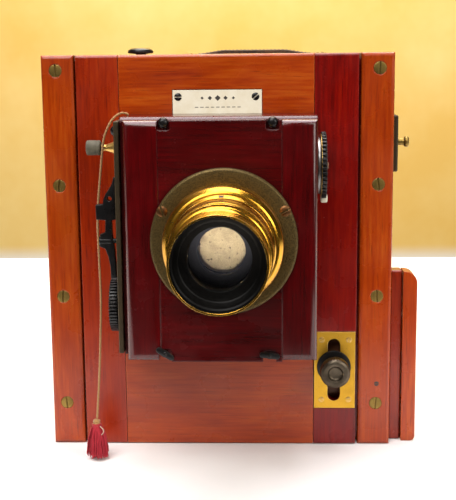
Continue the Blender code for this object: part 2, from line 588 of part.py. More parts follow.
PINION_X = (86.5, 93.5)
PINION_R = MODULE * PINION_TEETH / 2
shaft = turned("focus_shaft",
               [(0, 128.0), (11.0, 128.0), (12.0, 127.0), (12.0, 118.0), (6.0, 116.6),
                (6.0, 114.5), (3.0, 114.5), (3.0, -114.5), (6.0, -114.5), (6.0, -116.6),
                (12.0, -118.0), (12.0, -127.0), (11.0, -128.0), (0, -128.0)],
               "+X", (0, SHAFT_Y, SHAFT_Z), "brass", 20)
teeth = []
for i in range(PINION_TEETH):
    down = -90.0 + 360.0 * i / PINION_TEETH
    for half, radius in ((-0.92, PINION_R - DEDENDUM), (-0.30, PINION_R + ADDENDUM),
                         (0.30, PINION_R + ADDENDUM), (0.92, PINION_R - DEDENDUM)):
        t = math.radians(down) + half / radius
        teeth.append((radius * math.cos(t), radius * math.sin(t)))
join(shaft, plate("pinion_tool", teeth, "YZ", *PINION_X, None, centre=(SHAFT_Y, SHAFT_Z)))

# leather handle: a padded strap lying almost flat, screwed down at its ends
HANDLE_X, HANDLE_HALF = 21.5, 58.0


def handle_edges(i):
    """X, underside and top of the strap at the i-th of 25 stations along it."""
    x = HANDLE_X - HANDLE_HALF + 2 * HANDLE_HALF * i / 24
    t = min(1.0, max(0.0, (0.80 - abs(x - HANDLE_X) / HANDLE_HALF) / 0.42))
    t = t * t * (3 - 2 * t) + 0.002 * ((i * 7) % 5)      # keeps points out of line
    return x, HEIGHT + GAP + 2.2 * t, HEIGHT + 2.5 + 2.8 * t


spans = [handle_edges(i) for i in range(25)]
handle = [(x, low) for x, low, top in spans] + [(x, top) for x, low, top in reversed(spans)]
plate("handle", [(x - HANDLE_X, z - HEIGHT) for x, z in handle], "XZ", SHAFT_Y - 8.5,
      SHAFT_Y + 8.5, "leather", centre=(HANDLE_X, HEIGHT))

# turning lock: a hook on the rear frame, drawn turned aside, goes round a stud on the screen
ASIDE = 60.0
hook = arc(0, 0, 29.5, ASIDE + 78, ASIDE + 125, 8) + arc(0, 0, 7.0, ASIDE + 140, ASIDE + 450, 16) \
    + arc(0, 0, LOCK_R + 2.1, ASIDE + 105, ASIDE + 78, 5)
lock = plate("back_lock", hook, "XY", HEIGHT + GAP, HEIGHT + 2.2, "brass", centre=LOCK_XY)
join(lock, turned("lock_tool", [(0, 266.4), (7.0, 266.4), (9.6, 265.2), (10.4, 263.6), (10.4, 262.6),
                                (4.0, 262.0), (4.0, 261.0), (3.0, 260.4), (3.0, 248.0),
                                (0, 248.0)], "+Z", (*LOCK_XY, 0), None, 20))

screen = box("screen_frame", (-112.5, 112.5), SCREEN_Y, (37.0, HEIGHT - 0.5), "mahogany", bevel=1.0)
cut(screen,
    box("screen_rebate", (-93.3, 93.3), (SCREEN_Y[0] - 3, 98.9), (78.7, 215.3)),
    box("screen_window", (-86, 86), (SCREEN_Y[0] - 4, SCREEN_Y[1] + 4), (86, 208)),
    rod("stud_bore", "+Z", (LOCK_XY[0], LOCK_XY[1] + LOCK_R, 251.7), 12, 2.1, segments=12))
box("ground_glass", (-93.0, 93.0), (96.0, 98.6), (79.0, 215.0), "ground_glass")
turned("lock_stud", [(0, 264.0), (2.8, 263.6), (2.8, 262.2), (1.8, 262.2), (1.8, 252.0),
                     (0, 252.0)], "+Z", (LOCK_XY[0], LOCK_XY[1] + LOCK_R, 0), "brass", 12)
leaf = box("screen_hinge", (113.3, 114.5), (70.0, 95.0), (50.0, 245.0), "brass")
join(leaf, rod("knuckle_tool", "+Z", (*SCREEN_HINGE, 50.0), 195.0, 1.7, segments=12))


# --------------------------------------------------------------------- bellows
def bellows(name, y0, y1, front, rear, pleats, depth, skin):
    """A pleated tapered tube: front and rear are (half width, bottom, top)."""
    bm = bmesh.new()
    loops = []
    for inset in (0.0, skin):
        rings = []
        for i in range(2 * pleats + 1):
            t = i / (2 * pleats)
            half, low, high = (a + (b - a) * t for a, b in zip(front, rear))
            fold = inset + (depth if i % 2 else 0.0)
            y = y0 + (y1 - y0) * t
            corners = [(-half + fold, low + fold), (half - fold, low + fold),
                       (half - fold, high - fold), (-half + fold, high - fold)]
            rings.append([bm.verts.new((x * MM, y * MM, z * MM)) for x, z in corners])
        loops.append(rings)
    outer, inner = loops

    def band(a, b):
        for i in range(4):
            j = (i + 1) % 4
            bm.faces.new((a[i], a[j], b[j], b[i]))

    for a, b in zip(outer, outer[1:]):
        band(a, b)
    for a, b in zip(inner, inner[1:]):
        band(b, a)
    band(inner[0], outer[0])
    band(outer[-1], inner[-1])
    bmesh.ops.recalc_face_normals(bm, faces=bm.faces)
    return from_bmesh(name, bm, (0, 0, 0), "bellows_cloth")


bellows("bellows", behind(BAFFLE[1] + GAP), FRAME_Y[0] - GAP, (78.0, 64.0, 230.0),
        (98.0, 70.0, 224.0), 12, 6.0, 1.5)


# ------------------------------------------------------- what moves with what
def anchor(name, at, parent=None):
    """An empty on a joint's axis."""
    empty = bpy.data.objects.new(name, None)
    empty.empty_display_size = 0.02
    parts.objects.link(empty)
    empty.matrix_world = Matrix.Translation(Vector(at) * MM)
    if parent:
        attach(empty, parent)
    return empty


def attach(ob, parent):
    world = ob.matrix_world.copy()
    ob.parent = parent
    bpy.context.view_layer.update()
    ob.matrix_parent_inverse = parent.matrix_world.inverted()
    ob.matrix_world = world


bpy.context.view_layer.update()
panel_slide = anchor("panel_slide", (0, FRONT, 0))
focus_slide = anchor("focus_slide", (0, SHAFT_Y, BED_T))
screen_axis = anchor("screen_axis", (*SCREEN_HINGE, 147.0), focus_slide)
blind_axis = anchor("blind_axis", (0, ahead(ROLLER_D), ROLLER_TOP_Z), panel_slide)
clamp_axis = anchor("clamp_axis", (SLOT_X, FRONT, CLAMP_Z))
bpy.context.view_layer.update()

GROUPS = (
    (panel_slide, "panel_board panel_cleat_left panel_cleat_right name_plate slot_plate "
                  "shutter_case lens_board mechanism_plate hose_nipple hose_stub lens_flange "
                  "lens_barrel lens_hood front_glass rear_glass shutter_blind shutter_cord "
                  "cord_tassel lower_roller winder_wheel release_lever iris_ring "
                  "turn_button_left turn_button_right"),
    (blind_axis, "upper_roller speed_disc"),
    (clamp_axis, "clamp_knob clamp_washer"),
    (focus_slide, "carriage rear_frame handle screen_hinge focus_shaft back_lock"),
    (screen_axis, "screen_frame ground_glass lock_stud"),
)
for empty, names in GROUPS:
    for name in names.split():
        attach(parts.objects[name], empty)
bpy.context.view_layer.update()
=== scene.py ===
import math
import random

import bmesh
import bpy
from mathutils import Matrix, Vector


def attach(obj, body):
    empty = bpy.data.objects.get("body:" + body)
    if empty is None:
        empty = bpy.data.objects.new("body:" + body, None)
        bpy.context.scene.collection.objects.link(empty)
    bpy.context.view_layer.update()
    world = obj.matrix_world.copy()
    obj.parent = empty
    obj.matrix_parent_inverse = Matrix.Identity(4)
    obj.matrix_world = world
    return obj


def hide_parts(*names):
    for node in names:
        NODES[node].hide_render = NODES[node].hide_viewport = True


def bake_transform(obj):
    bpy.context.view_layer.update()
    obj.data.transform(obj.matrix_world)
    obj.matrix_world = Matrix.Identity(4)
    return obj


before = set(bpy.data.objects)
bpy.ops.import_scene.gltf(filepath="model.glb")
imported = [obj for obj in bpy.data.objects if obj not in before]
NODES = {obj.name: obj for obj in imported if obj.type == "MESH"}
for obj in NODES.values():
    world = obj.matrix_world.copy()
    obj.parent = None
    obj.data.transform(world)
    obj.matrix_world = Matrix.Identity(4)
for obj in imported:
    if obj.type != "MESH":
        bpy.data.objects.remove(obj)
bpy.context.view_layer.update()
MM = 0.001

# ------------------------------------------------------- sizes shared with the CAD, in mm
FRONT = -110.0
LENS_X, LENS_Z = 5.8, 147.2
BOARD_X, BOARD_Z = (-54.5, 62.2), (72.3, 219.7)
CASE_D, BOARD_D = 42.0, 54.0
ROLLER_D, ROLLER_TOP_Z, ROLLER_LOW_Z = 24.0, 189.7, 102.1
HEIGHT = 259.0


def ahead(d):
    return FRONT - d


# ================================================================== shader helpers
class Graph:
    """A material's node tree with short calls; numbers go straight on the sockets."""

    def __init__(self, name):
        self.mat = bpy.data.materials.new(name)
        self.mat.use_nodes = True
        self.tree = self.mat.node_tree
        self.shader = self.tree.nodes["Principled BSDF"]
        self.coord = self.add("ShaderNodeTexCoord").outputs["Object"]

    def add(self, kind, **inputs):
        node = self.tree.nodes.new(kind)
        for key, value in inputs.items():
            self.put(node, key.replace("_", " "), value)
        return node

    def put(self, node, key, value):
        socket = node.inputs[key] if key in node.inputs else node.inputs[int(key.strip("in"))]
        if isinstance(value, bpy.types.NodeSocket):
            self.tree.links.new(value, socket)
        else:
            socket.default_value = value

    def set(self, **inputs):
        for key, value in inputs.items():
            self.put(self.shader, key.replace("_", " "), value)
        return self.mat

    def mapped(self, scale=(1, 1, 1), shift=(0, 0, 0), rotation=(0, 0, 0)):
        return self.add("ShaderNodeMapping", Vector=self.coord, Scale=scale, Location=shift,
                        Rotation=rotation).outputs[0]

    def noise(self, vector, scale, detail=4.0, rough=0.55, distort=0.0):
        return self.add("ShaderNodeTexNoise", Vector=vector, Scale=scale, Detail=detail,
                        Roughness=rough, Distortion=distort).outputs["Fac"]

    def cells(self, vector, scale, feature="F1", random_=1.0):
        node = self.add("ShaderNodeTexVoronoi", Vector=vector, Scale=scale, Randomness=random_)
        node.feature = feature
        return node.outputs["Distance"]

    def ramp(self, fac, stops, ease=False):
        node = self.add("ShaderNodeValToRGB", Fac=fac)
        node.color_ramp.interpolation = "EASE" if ease else "LINEAR"
        elements = node.color_ramp.elements
        while len(elements) < len(stops):
            elements.new(0.5)
        for element, (place, colour) in zip(elements, stops):
            element.position = place
            element.color = (*colour, 1) if isinstance(colour, tuple) else (colour,) * 3 + (1,)
        return node.outputs["Color"]

    def math(self, op, a, b=0.0, clamp=False):
        node = self.add("ShaderNodeMath")
        node.operation, node.use_clamp = op, clamp
        self.put(node, "in0", a)
        self.put(node, "in1", b)
        return node.outputs[0]

    def mix(self, fac, a, b, blend="MIX"):
        node = self.add("ShaderNodeMix")
        node.data_type, node.blend_type = "RGBA", blend
        for socket, value in zip((node.inputs[0], node.inputs[6], node.inputs[7]), (fac, a, b)):
            if isinstance(value, bpy.types.NodeSocket):
                self.tree.links.new(value, socket)
            else:
                socket.default_value = (*value, 1) if isinstance(value, tuple) else value
        return node.outputs[2]

    def span(self, value, lo, hi, to_lo=0.0, to_hi=1.0):
        node = self.add("ShaderNodeMapRange")
        for key, v in zip(range(5), (value, lo, hi, to_lo, to_hi)):
            self.put(node, "in%d" % key, v)
        return node.outputs[0]

    def edges(self, radius, lo=0.02, hi=0.18):
        """1 near convex and concave edges, 0 on open faces; and the rounded normal."""
        soft = self.add("ShaderNodeBevel", Radius=radius * MM)
        soft.samples = 4
        flat = self.add("ShaderNodeNewGeometry").outputs["Normal"]
        dot = self.add("ShaderNodeVectorMath")
        dot.operation = "DOT_PRODUCT"
        self.put(dot, "in0", soft.outputs[0])
        self.put(dot, "in1", flat)
        off = self.math("SUBTRACT", 1.0, dot.outputs["Value"])
        return self.span(off, lo, hi), soft.outputs[0]

    def bump(self, height, strength, distance, normal=None):
        node = self.add("ShaderNodeBump", Height=height, Strength=strength,
                        Distance=distance * MM)
        if normal is not None:
            self.put(node, "Normal", normal)
        return node.outputs[0]


ALONG = {"X": (0.055, 1, 1), "Y": (1, 0.055, 1), "Z": (1, 1, 0.055)}
FIGURE = {"X": (0.22, 1, 1), "Y": (1, 0.22, 1), "Z": (1, 1, 0.22)}


def wood(name, dark, mid, light, grain, seed, rough=0.26, coat=0.10, pores=0.55, wear=None,
         figure=0.5, painted_corner_shade=0.35, shine=0.45):
    """Polished mahogany: figure, fibres, open pores, painted shade in the corners, rubbed edges."""
    g = Graph(name)
    shift = (0.37 * seed, 0.19 * seed, 0.53 * seed)
    fine = g.mapped(ALONG[grain], shift)
    wide = g.mapped(FIGURE[grain], shift)
    fibres = g.noise(fine, 520.0, 6.0, 0.62)
    bands = g.noise(wide, 34.0, 4.0, 0.6, 0.9)
    clouds = g.noise(g.mapped((1, 1, 1), shift), 9.0, 2.0)
    pore = g.ramp(g.noise(g.mapped(tuple(0.6 * s if s < 1 else s for s in ALONG[grain]), shift),
                          1500.0, 2.0, 0.5), [(0.60, 0.0), (0.70, 1.0)])
    tone = g.math("ADD", g.math("MULTIPLY", bands, figure),
                  g.math("MULTIPLY", fibres, 1 - figure))
    colour = g.ramp(tone, [(0.33, dark), (0.50, mid), (0.68, light)])
    colour = g.mix(g.math("MULTIPLY", pore, pores), colour, tuple(c * 0.30 for c in dark))
    colour = g.mix(g.span(clouds, 0.35, 0.70, 0.0, 0.38), colour, tuple(c * 0.72 for c in mid))
    rim, rounded = g.edges(1.1)
    rub = g.math("MULTIPLY", rim, g.span(g.noise(g.mapped(shift=shift), 60.0, 5.0), 0.42, 0.62))
    worn = wear or tuple(min(1.0, c * 1.7 + 0.03) for c in light)
    colour = g.mix(g.math("MULTIPLY", rub, 0.62), colour, worn)
    # painted shade: ambient occlusion darkens the colour in corners and recesses
    if painted_corner_shade:
        hollow = g.add("ShaderNodeAmbientOcclusion", Distance=5 * MM)
        hollow.samples = 4
        shade = g.span(hollow.outputs["AO"], 0.35, 0.85, painted_corner_shade, 0.0)
        colour = g.mix(shade, colour, tuple(c * 0.22 for c in dark))
    height = g.math("SUBTRACT", g.math("MULTIPLY", fibres, 0.35), g.math("MULTIPLY", pore, 0.5))
    gloss = g.span(g.noise(g.mapped(shift=shift), 26.0, 5.0), 0.3, 0.7, rough - 0.07, rough + 0.12)
    return g.set(Base_Color=colour, Roughness=gloss, Coat_Weight=coat, Coat_Roughness=0.16,
                 Specular_IOR_Level=shine, Normal=g.bump(height, 0.25, 0.12, rounded))


def metal(name, colour, tarnish, rough=0.28, spots=0.5, grain=0.0, edge=None, scale=1.0,
          metallic=1.0, fine=0.15, coat=0.0):
    """Old metal: cloudy tarnish, specks, fine scratches and edges rubbed bright."""
    g = Graph(name)
    clouds = g.noise(g.mapped(), 70.0 * scale, 6.0, 0.65, 0.4)
    specks = g.noise(g.mapped(), 900.0 * scale, 3.0, 0.6)
    base = g.mix(g.span(clouds, 0.44, 0.72, 0.0, spots), colour, tarnish)
    base = g.mix(g.math("MULTIPLY", g.span(specks, 0.60, 0.72), 0.55 * spots), base,
                 tuple(c * 0.4 for c in tarnish))
    rim, rounded = g.edges(0.5)
    if edge:
        rub = g.math("MULTIPLY", rim, g.span(g.noise(g.mapped(), 160.0, 4.0), 0.38, 0.60))
        base = g.mix(rub, base, edge)
    rough_map = g.math("ADD", g.span(clouds, 0.35, 0.75, rough - 0.05, rough + 0.16),
                       g.math("MULTIPLY", specks, 0.05))
    height = specks
    if grain:
        height = g.math("ADD", specks, g.math("MULTIPLY", g.cells(g.mapped(), 1300.0), grain))
    return g.set(Base_Color=base, Metallic=metallic, Roughness=rough_map, Coat_Weight=coat,
                 Coat_Roughness=0.08, Normal=g.bump(height, fine + grain * 0.6, 0.06, rounded))


def granular(name, dark, gold):
    """A cast ring whose lacquer has gone to dark grains, with gold showing between them."""
    g = Graph(name)
    grains = g.cells(g.mapped(), 1500.0)
    patch = g.noise(g.mapped(), 60.0, 4.0, 0.6)
    mixed = g.math("ADD", g.math("MULTIPLY", grains, 1.1), g.math("MULTIPLY", patch, 0.55))
    colour = g.ramp(mixed, [(0.42, dark), (0.66, tuple(0.5 * (a + b) for a, b in zip(dark, gold))),
                            (0.86, gold)])
    rim, rounded = g.edges(0.5)
    colour = g.mix(g.math("MULTIPLY", rim, 0.7), colour, gold)
    return g.set(Base_Color=colour, Metallic=0.6, Roughness=g.span(mixed, 0.4, 0.9, 0.65, 0.40),
                 Specular_IOR_Level=0.2,
                 Normal=g.bump(grains, 0.7, 0.15, rounded))


def hide(name, dark, light, scale=700.0, rough=0.55, depth=0.12):
    """Leather: small pebbled cells with rubbed high spots."""
    g = Graph(name)
    warp = g.mapped()
    cell = g.cells(warp, scale)
    crease = g.noise(warp, scale * 0.25, 5.0, 0.6)
    colour = g.mix(g.span(cell, 0.1, 0.6), light, dark)
    colour = g.mix(g.span(g.noise(warp, 40.0, 4.0), 0.45, 0.7, 0.0, 0.5), colour, light)
    height = g.math("SUBTRACT", g.math("MULTIPLY", crease, 0.6), cell)
    return g.set(Base_Color=colour, Roughness=g.span(cell, 0.0, 0.6, rough - 0.12, rough + 0.1),
                 Normal=g.bump(height, 0.5, depth), Specular_IOR_Level=0.45)


def cloth(name, dark, light, threads=2200.0, specks=0.0, sheen=0.2, rough=0.85):
    """Woven cloth with crossed threads and, where asked, dark specks."""
    g = Graph(name)
    warp = g.add("ShaderNodeTexWave", Vector=g.mapped(), Scale=threads / 6.28, Distortion=1.2,
                 Detail=1.0)
    warp.bands_direction = "X"
    weft = g.add("ShaderNodeTexWave", Vector=g.mapped(), Scale=threads / 6.28, Distortion=1.2,
                 Detail=1.0)
    weft.bands_direction = "Z"
    weave = g.math("MULTIPLY", warp.outputs["Fac"], weft.outputs["Fac"])
    clouds = g.noise(g.mapped(), 90.0, 4.0)
    colour = g.mix(g.math("ADD", g.math("MULTIPLY", weave, 0.35), g.math("MULTIPLY", clouds, 0.6)),
                   dark, light)
    if specks:
        mark = g.span(g.noise(g.mapped(shift=(0.3, 0.1, 0.7)), 420.0, 2.0), 0.62, 0.68)
        stain = g.span(g.noise(g.mapped(shift=(0.7, 0.1, 0.2)), 130.0, 5.0), 0.52, 0.68, 0.0, 0.7)
        colour = g.mix(g.math("MULTIPLY", mark, specks), colour, tuple(c * 0.25 for c in dark))
        colour = g.mix(stain, colour, tuple(c * 0.7 for c in dark))
    return g.set(Base_Color=colour, Roughness=rough, Sheen_Weight=sheen,
                 Normal=g.bump(weave, 0.3, 0.05))


def plain(name, colour, rough, second=None, scale=300.0, bump=0.1, depth=0.05, **extra):
    """A quiet surface: slight mottling of the colour and a fine bump."""
    g = Graph(name)
    spread = g.noise(g.mapped(), scale, 5.0, 0.6)
    shade = g.mix(g.span(spread, 0.35, 0.68), colour, second or tuple(c * 0.75 for c in colour))
    rim, rounded = g.edges(0.4)
    return g.set(Base_Color=shade, Roughness=g.span(spread, 0.3, 0.7, rough - 0.04, rough + 0.08),
                 Normal=g.bump(spread, bump, depth, rounded), **extra)


def clear(name, tint, rough, alpha, ior=1.5):
    g = Graph(name)
    haze = g.noise(g.mapped(), 180.0, 4.0)
    return g.set(Base_Color=(*tint, 1), Roughness=g.span(haze, 0.3, 0.8, rough, rough + 0.03),
                 Alpha=alpha, IOR=ior, Coat_Weight=0.5, Coat_Roughness=0.03)


# ==================================================================== shape helpers
TURN = {"-Y": Matrix.Rotation(math.pi / 2, 3, "X"), "+Y": Matrix.Rotation(-math.pi / 2, 3, "X"),
        "+X": Matrix.Rotation(math.pi / 2, 3, "Y"), "-X": Matrix.Rotation(-math.pi / 2, 3, "Y"),
        "+Z": Matrix.Identity(3), "-Z": Matrix.Rotation(math.pi, 3, "X")}


def finish_mesh(name, bm, mat, body=None, replaces=(), slot=None, sharp=32.0, flip=True):
    """Makes the object in the row frame, sets shading, material and body, and hides the CAD parts
    it replaces.
    """
    if flip:
        bmesh.ops.recalc_face_normals(bm, faces=bm.faces)
    mesh = bpy.data.meshes.new(name)
    bm.to_mesh(mesh)
    bm.free()
    mesh.shade_smooth()
    mesh.set_sharp_from_angle(angle=math.radians(sharp))
    ob = bpy.data.objects.new(name, mesh)
    bpy.context.scene.collection.objects.link(ob)
    mesh.materials.append(mat)
    if body:
        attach(ob, body)
    if replaces:
        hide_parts(*((replaces,) if isinstance(replaces, str) else replaces))
    return ob


def soften(profile, r=0.3, closed=False):
    """Rounds the corners of a (radius, height) profile a little."""
    out = []
    n = len(profile)
    for i, p in enumerate(profile):
        p = Vector(p)
        if not closed and i in (0, n - 1):
            out.append(tuple(p))
            continue
        a, b = Vector(profile[i - 1]), Vector(profile[(i + 1) % n])
        da, db = a - p, b - p
        short = min(da.length, db.length) < 1e-6
        if short or abs(da.normalized().cross(db.normalized())) < 0.2:
            out.append(tuple(p))
            continue
        k = min(r, da.length * 0.4, db.length * 0.4)
        pa, pb = p + da.normalized() * k, p + db.normalized() * k
        out += [tuple(pa), tuple(pa * 0.25 + p * 0.5 + pb * 0.25), tuple(pb)]
    return out


def lathe_mesh(profile, centre, axis="-Y", steps=96, ring=False, ripple=None):
    """Turns a profile; ripple(angle, radius, height) may change the radius."""
    bm = bmesh.new()
    rot, at = TURN[axis], Vector(centre)
    rows = []
    for r, h in profile:
        if r < 1e-6:
            rows.append([bm.verts.new((at + rot @ Vector((0, 0, h))) * MM)])
            continue
        row = []
        for i in range(steps):
            a = 2 * math.pi * i / steps
            rr = ripple(a, r, h) if ripple else r
            out = Vector((rr * math.cos(a), rr * math.sin(a), h))
            row.append(bm.verts.new((at + rot @ out) * MM))
        rows.append(row)
    pairs = list(zip(rows, rows[1:])) + ([(rows[-1], rows[0])] if ring else [])
    for a, b in pairs:
        for i in range(steps):
            j = (i + 1) % steps
            if len(a) == 1 and len(b) == 1:
                break
            if len(a) == 1:
                bm.faces.new((a[0], b[i], b[j]))
            elif len(b) == 1:
                bm.faces.new((a[i], b[0], a[j]))
            else:
                bm.faces.new((a[i], b[i], b[j], a[j]))
    return bm


def lathe(name, profile, centre, mat, body, axis="-Y", steps=96, ring=False, replaces=(),
          slot=None, ripple=None, soft=0.3, sharp=32.0):
    shape = soften(profile, soft, ring) if soft else profile
    bm = lathe_mesh(shape, centre, axis, steps, ring, ripple)
    return finish_mesh(name, bm, mat, body, replaces, slot, sharp)


def slab_mesh(x, y, z, bevel=0.0, segments=3, pick=None):
    bm = bmesh.new()
    lo, hi = Vector((x[0], y[0], z[0])) * MM, Vector((x[1], y[1], z[1])) * MM
    size, mid = hi - lo, (hi + lo) / 2
    bmesh.ops.create_cube(bm, size=1, matrix=Matrix.Translation(mid) @ Matrix.Diagonal((*size, 1)))
    if bevel:
        edges = [e for e in bm.edges if pick is None or pick(e)]
        bmesh.ops.bevel(bm, geom=edges, offset=bevel * MM, segments=segments, profile=0.5,
                        affect="EDGES", clamp_overlap=True)
    return bm


def slab(name, x, y, z, mat, body, bevel=0.3, segments=3, pick=None, **more):
    return finish_mesh(name, slab_mesh(x, y, z, bevel, segments, pick), mat, body, **more)


def outline_mesh(points, plane, lo, hi, bevel=0.0, segments=2):
    """A closed outline filled between lo and hi across its plane, with softened rims."""
    bm = bmesh.new()
    place = {"XZ": lambda u, v, w: (u, w, v), "YZ": lambda u, v, w: (w, u, v),
             "XY": lambda u, v, w: (u, v, w)}[plane]
    rings = [[bm.verts.new(Vector(place(u, v, w)) * MM) for u, v in points] for w in (lo, hi)]
    faces = [bm.faces.new(ring) for ring in rings]
    n = len(points)
    for i in range(n):
        j = (i + 1) % n
        bm.faces.new((rings[0][i], rings[0][j], rings[1][j], rings[1][i]))
    bmesh.ops.recalc_face_normals(bm, faces=bm.faces)
    if bevel:
        edges = {e for f in faces for e in f.edges}
        bmesh.ops.bevel(bm, geom=list(edges), offset=bevel * MM, segments=segments, profile=0.5,
                        affect="EDGES", clamp_overlap=True)
    return bm


def carve(ob, *tools):
    """Cuts meshes made by the helpers out of a piece, and applies the result."""
    for i, bm in enumerate(tools):
        bmesh.ops.recalc_face_normals(bm, faces=bm.faces)
        mesh = bpy.data.meshes.new("tool")
        bm.to_mesh(mesh)
        bm.free()
        tool = bpy.data.objects.new("tool", mesh)
        bpy.context.scene.collection.objects.link(tool)
        mod = ob.modifiers.new("cut", "BOOLEAN")
        mod.operation, mod.solver, mod.object = "DIFFERENCE", "EXACT", tool
        bpy.context.view_layer.update()
        done = bpy.data.meshes.new_from_object(
            ob.evaluated_get(bpy.context.evaluated_depsgraph_get()))
        ob.modifiers.clear()
        old, ob.data = ob.data, done
        done.name = old.name
        bpy.data.meshes.remove(old)
        bpy.data.objects.remove(tool, do_unlink=True)
        bpy.data.meshes.remove(mesh)
    ob.data.shade_smooth()
    ob.data.set_sharp_from_angle(angle=math.radians(32))
    return ob


def arc(cx, cy, r, start, end, steps):
    return [(cx + r * math.cos(math.radians(start + (end - start) * i / steps)),
             cy + r * math.sin(math.radians(start + (end - start) * i / steps)))
            for i in range(steps + 1)]


def tube_mesh(bm, points, radius, sides=8, twist=0.0, lobes=0, depth=0.0, taper=None):
    """A tube along points (mm) added to bm; lobes and twist make a laid cord."""
    pts = [Vector(p) for p in points]
    along, rings = 0.0, []
    side = Vector((0.31, 0.9, 0.2))
    for i, p in enumerate(pts):
        d = (pts[min(i + 1, len(pts) - 1)] - pts[max(i - 1, 0)]).normalized()
        side = (side - d * side.dot(d)).normalized()
        up = d.cross(side)
        if i:
            along += (p - pts[i - 1]).length
        r = radius * (taper(i / (len(pts) - 1)) if taper else 1.0)
        ring = []
        for k in range(sides):
            a = 2 * math.pi * k / sides
            rr = r * (1 - depth + depth * math.cos(lobes * a - twist * along)) if lobes else r
            ring.append(bm.verts.new((p + (side * math.cos(a) + up * math.sin(a)) * rr) * MM))
        rings.append(ring)
    for a, b in zip(rings, rings[1:]):
        for k in range(sides):
            j = (k + 1) % sides
            bm.faces.new((a[k], a[j], b[j], b[k]))
    bm.faces.new(list(reversed(rings[0])))
    bm.faces.new(rings[-1])


_heads = {}


def screw_head(name, at, axis, r, mat, body, turn=0.0, dome=0.25, replaces=(), slot_w=0.16,
               sink=0.0):
    """A slotted screw head standing on a surface at a point; copies share one mesh."""
    key = (round(r, 2), dome, slot_w, mat.name)
    if key not in _heads:
        rim = [(0, dome * r), (r * 0.45, dome * r * 0.9), (r * 0.8, dome * r * 0.55),
               (r * 0.97, dome * r * 0.14), (r, 0.0), (r, -0.35 * r), (0, -0.35 * r)]
        holder = finish_mesh(name, lathe_mesh(rim, (0, 0, 0), "+Z", 28), mat)
        w = max(slot_w * r, 0.12)
        carve(holder, slab_mesh((-2 * r, 2 * r), (-w, w), (dome * r * 0.35 - 0.22 * r, r)))
        _heads[key] = holder.data
        bpy.data.objects.remove(holder, do_unlink=True)
    ob = bpy.data.objects.new(name, _heads[key])
    bpy.context.scene.collection.objects.link(ob)
    rot = TURN[axis] @ Matrix.Rotation(math.radians(turn), 3, "Z")
    normal = rot @ Vector((0, 0, 1))
    ob.matrix_world = Matrix.Translation((Vector(at) - normal * sink) * MM) @ rot.to_4x4()
    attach(ob, body)
    if replaces:
        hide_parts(replaces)
    return ob


# ================================================================ camera, light, stage
def aim(yaw, pitch, roll):
    cy, sy, cp, sp = math.cos(yaw), math.sin(yaw), math.cos(pitch), math.sin(pitch)
    forward = Vector((-sy * cp, cy * cp, -sp))
    right = Vector((cy, sy, 0))
    up = right.cross(forward)
    r2 = right * math.cos(roll) + up * math.sin(roll)
    u2 = up * math.cos(roll) - right * math.sin(roll)
    return Matrix((r2, u2, -forward)).transposed()


camera_data = bpy.data.cameras.new("camera")
camera_data.lens = 75.9
camera_data.sensor_width = 36.0
camera_data.sensor_fit = "AUTO"
camera_data.clip_start = 0.02
camera = bpy.data.objects.new("camera", camera_data)
bpy.context.scene.collection.objects.link(camera)
camera.matrix_world = (Matrix.Translation((0.0325, -0.7894, 0.2498))
                       @ aim(math.radians(2.23), math.radians(9.78), math.radians(-0.55)).to_4x4())
bpy.context.scene.camera = camera


def area(name, at, target, size, watts, colour=(1, 1, 1)):
    data = bpy.data.lights.new(name, "AREA")
    data.shape, data.size, data.energy, data.color = "SQUARE", size, watts, colour
    lamp = bpy.data.objects.new(name, data)
    bpy.context.scene.collection.objects.link(lamp)
    way = (Vector(target) - Vector(at)).normalized()
    lamp.matrix_world = Matrix.Translation(at) @ way.to_track_quat("-Z", "Y").to_matrix().to_4x4()


area("window", (-0.55, -1.30, 1.70), (0, -0.05, 0.12), 1.4, 46.0, (1.0, 0.97, 0.93))
area("fill", (1.30, -1.20, 0.90), (0, -0.05, 0.12), 0.9, 16.0, (1.0, 0.95, 0.88))
area("over", (0.0, -0.10, 1.60), (0, -0.10, 0.0), 0.9, 20.0, (1.0, 0.93, 0.98))
area("wall_wash", (0.0, 1.30, 2.20), (0, 2.3, 0.3), 1.6, 92.0, (1.0, 0.96, 0.86))

# a narrow beam down the lens axis, to light the blind behind the glass
beam_data = bpy.data.lights.new("beam", "SPOT")
beam_data.energy, beam_data.spot_size, beam_data.spot_blend = 215.0, math.radians(3.2), 0.35
beam_data.shadow_soft_size, beam_data.color = 0.01, (1.0, 0.96, 0.88)
beam = bpy.data.objects.new("beam", beam_data)
bpy.context.scene.collection.objects.link(beam)
beam.visible_glossy = False
beam_way = Vector((0.0058, -0.142, 0.150)) - Vector((0.03, -0.95, 0.252))
beam.matrix_world = (Matrix.Translation((0.03, -0.95, 0.252))
                     @ beam_way.normalized().to_track_quat("-Z", "Y").to_matrix().to_4x4())

world = bpy.data.worlds.new("room")
world.use_nodes = True
world.node_tree.nodes["Background"].inputs[0].default_value = (1.0, 0.93, 0.85, 1)
world.node_tree.nodes["Background"].inputs[1].default_value = 0.035
bpy.context.scene.world = world
bpy.context.scene.view_settings.view_transform = "Standard"

table = finish_mesh("table_top", slab_mesh((-1500, 1500), (-325, 600), (-40.2, -0.2), 2.0),
                    plain("table_white", (0.95, 0.95, 0.945), 0.5, (0.93, 0.93, 0.925), 20.0, 0.02))


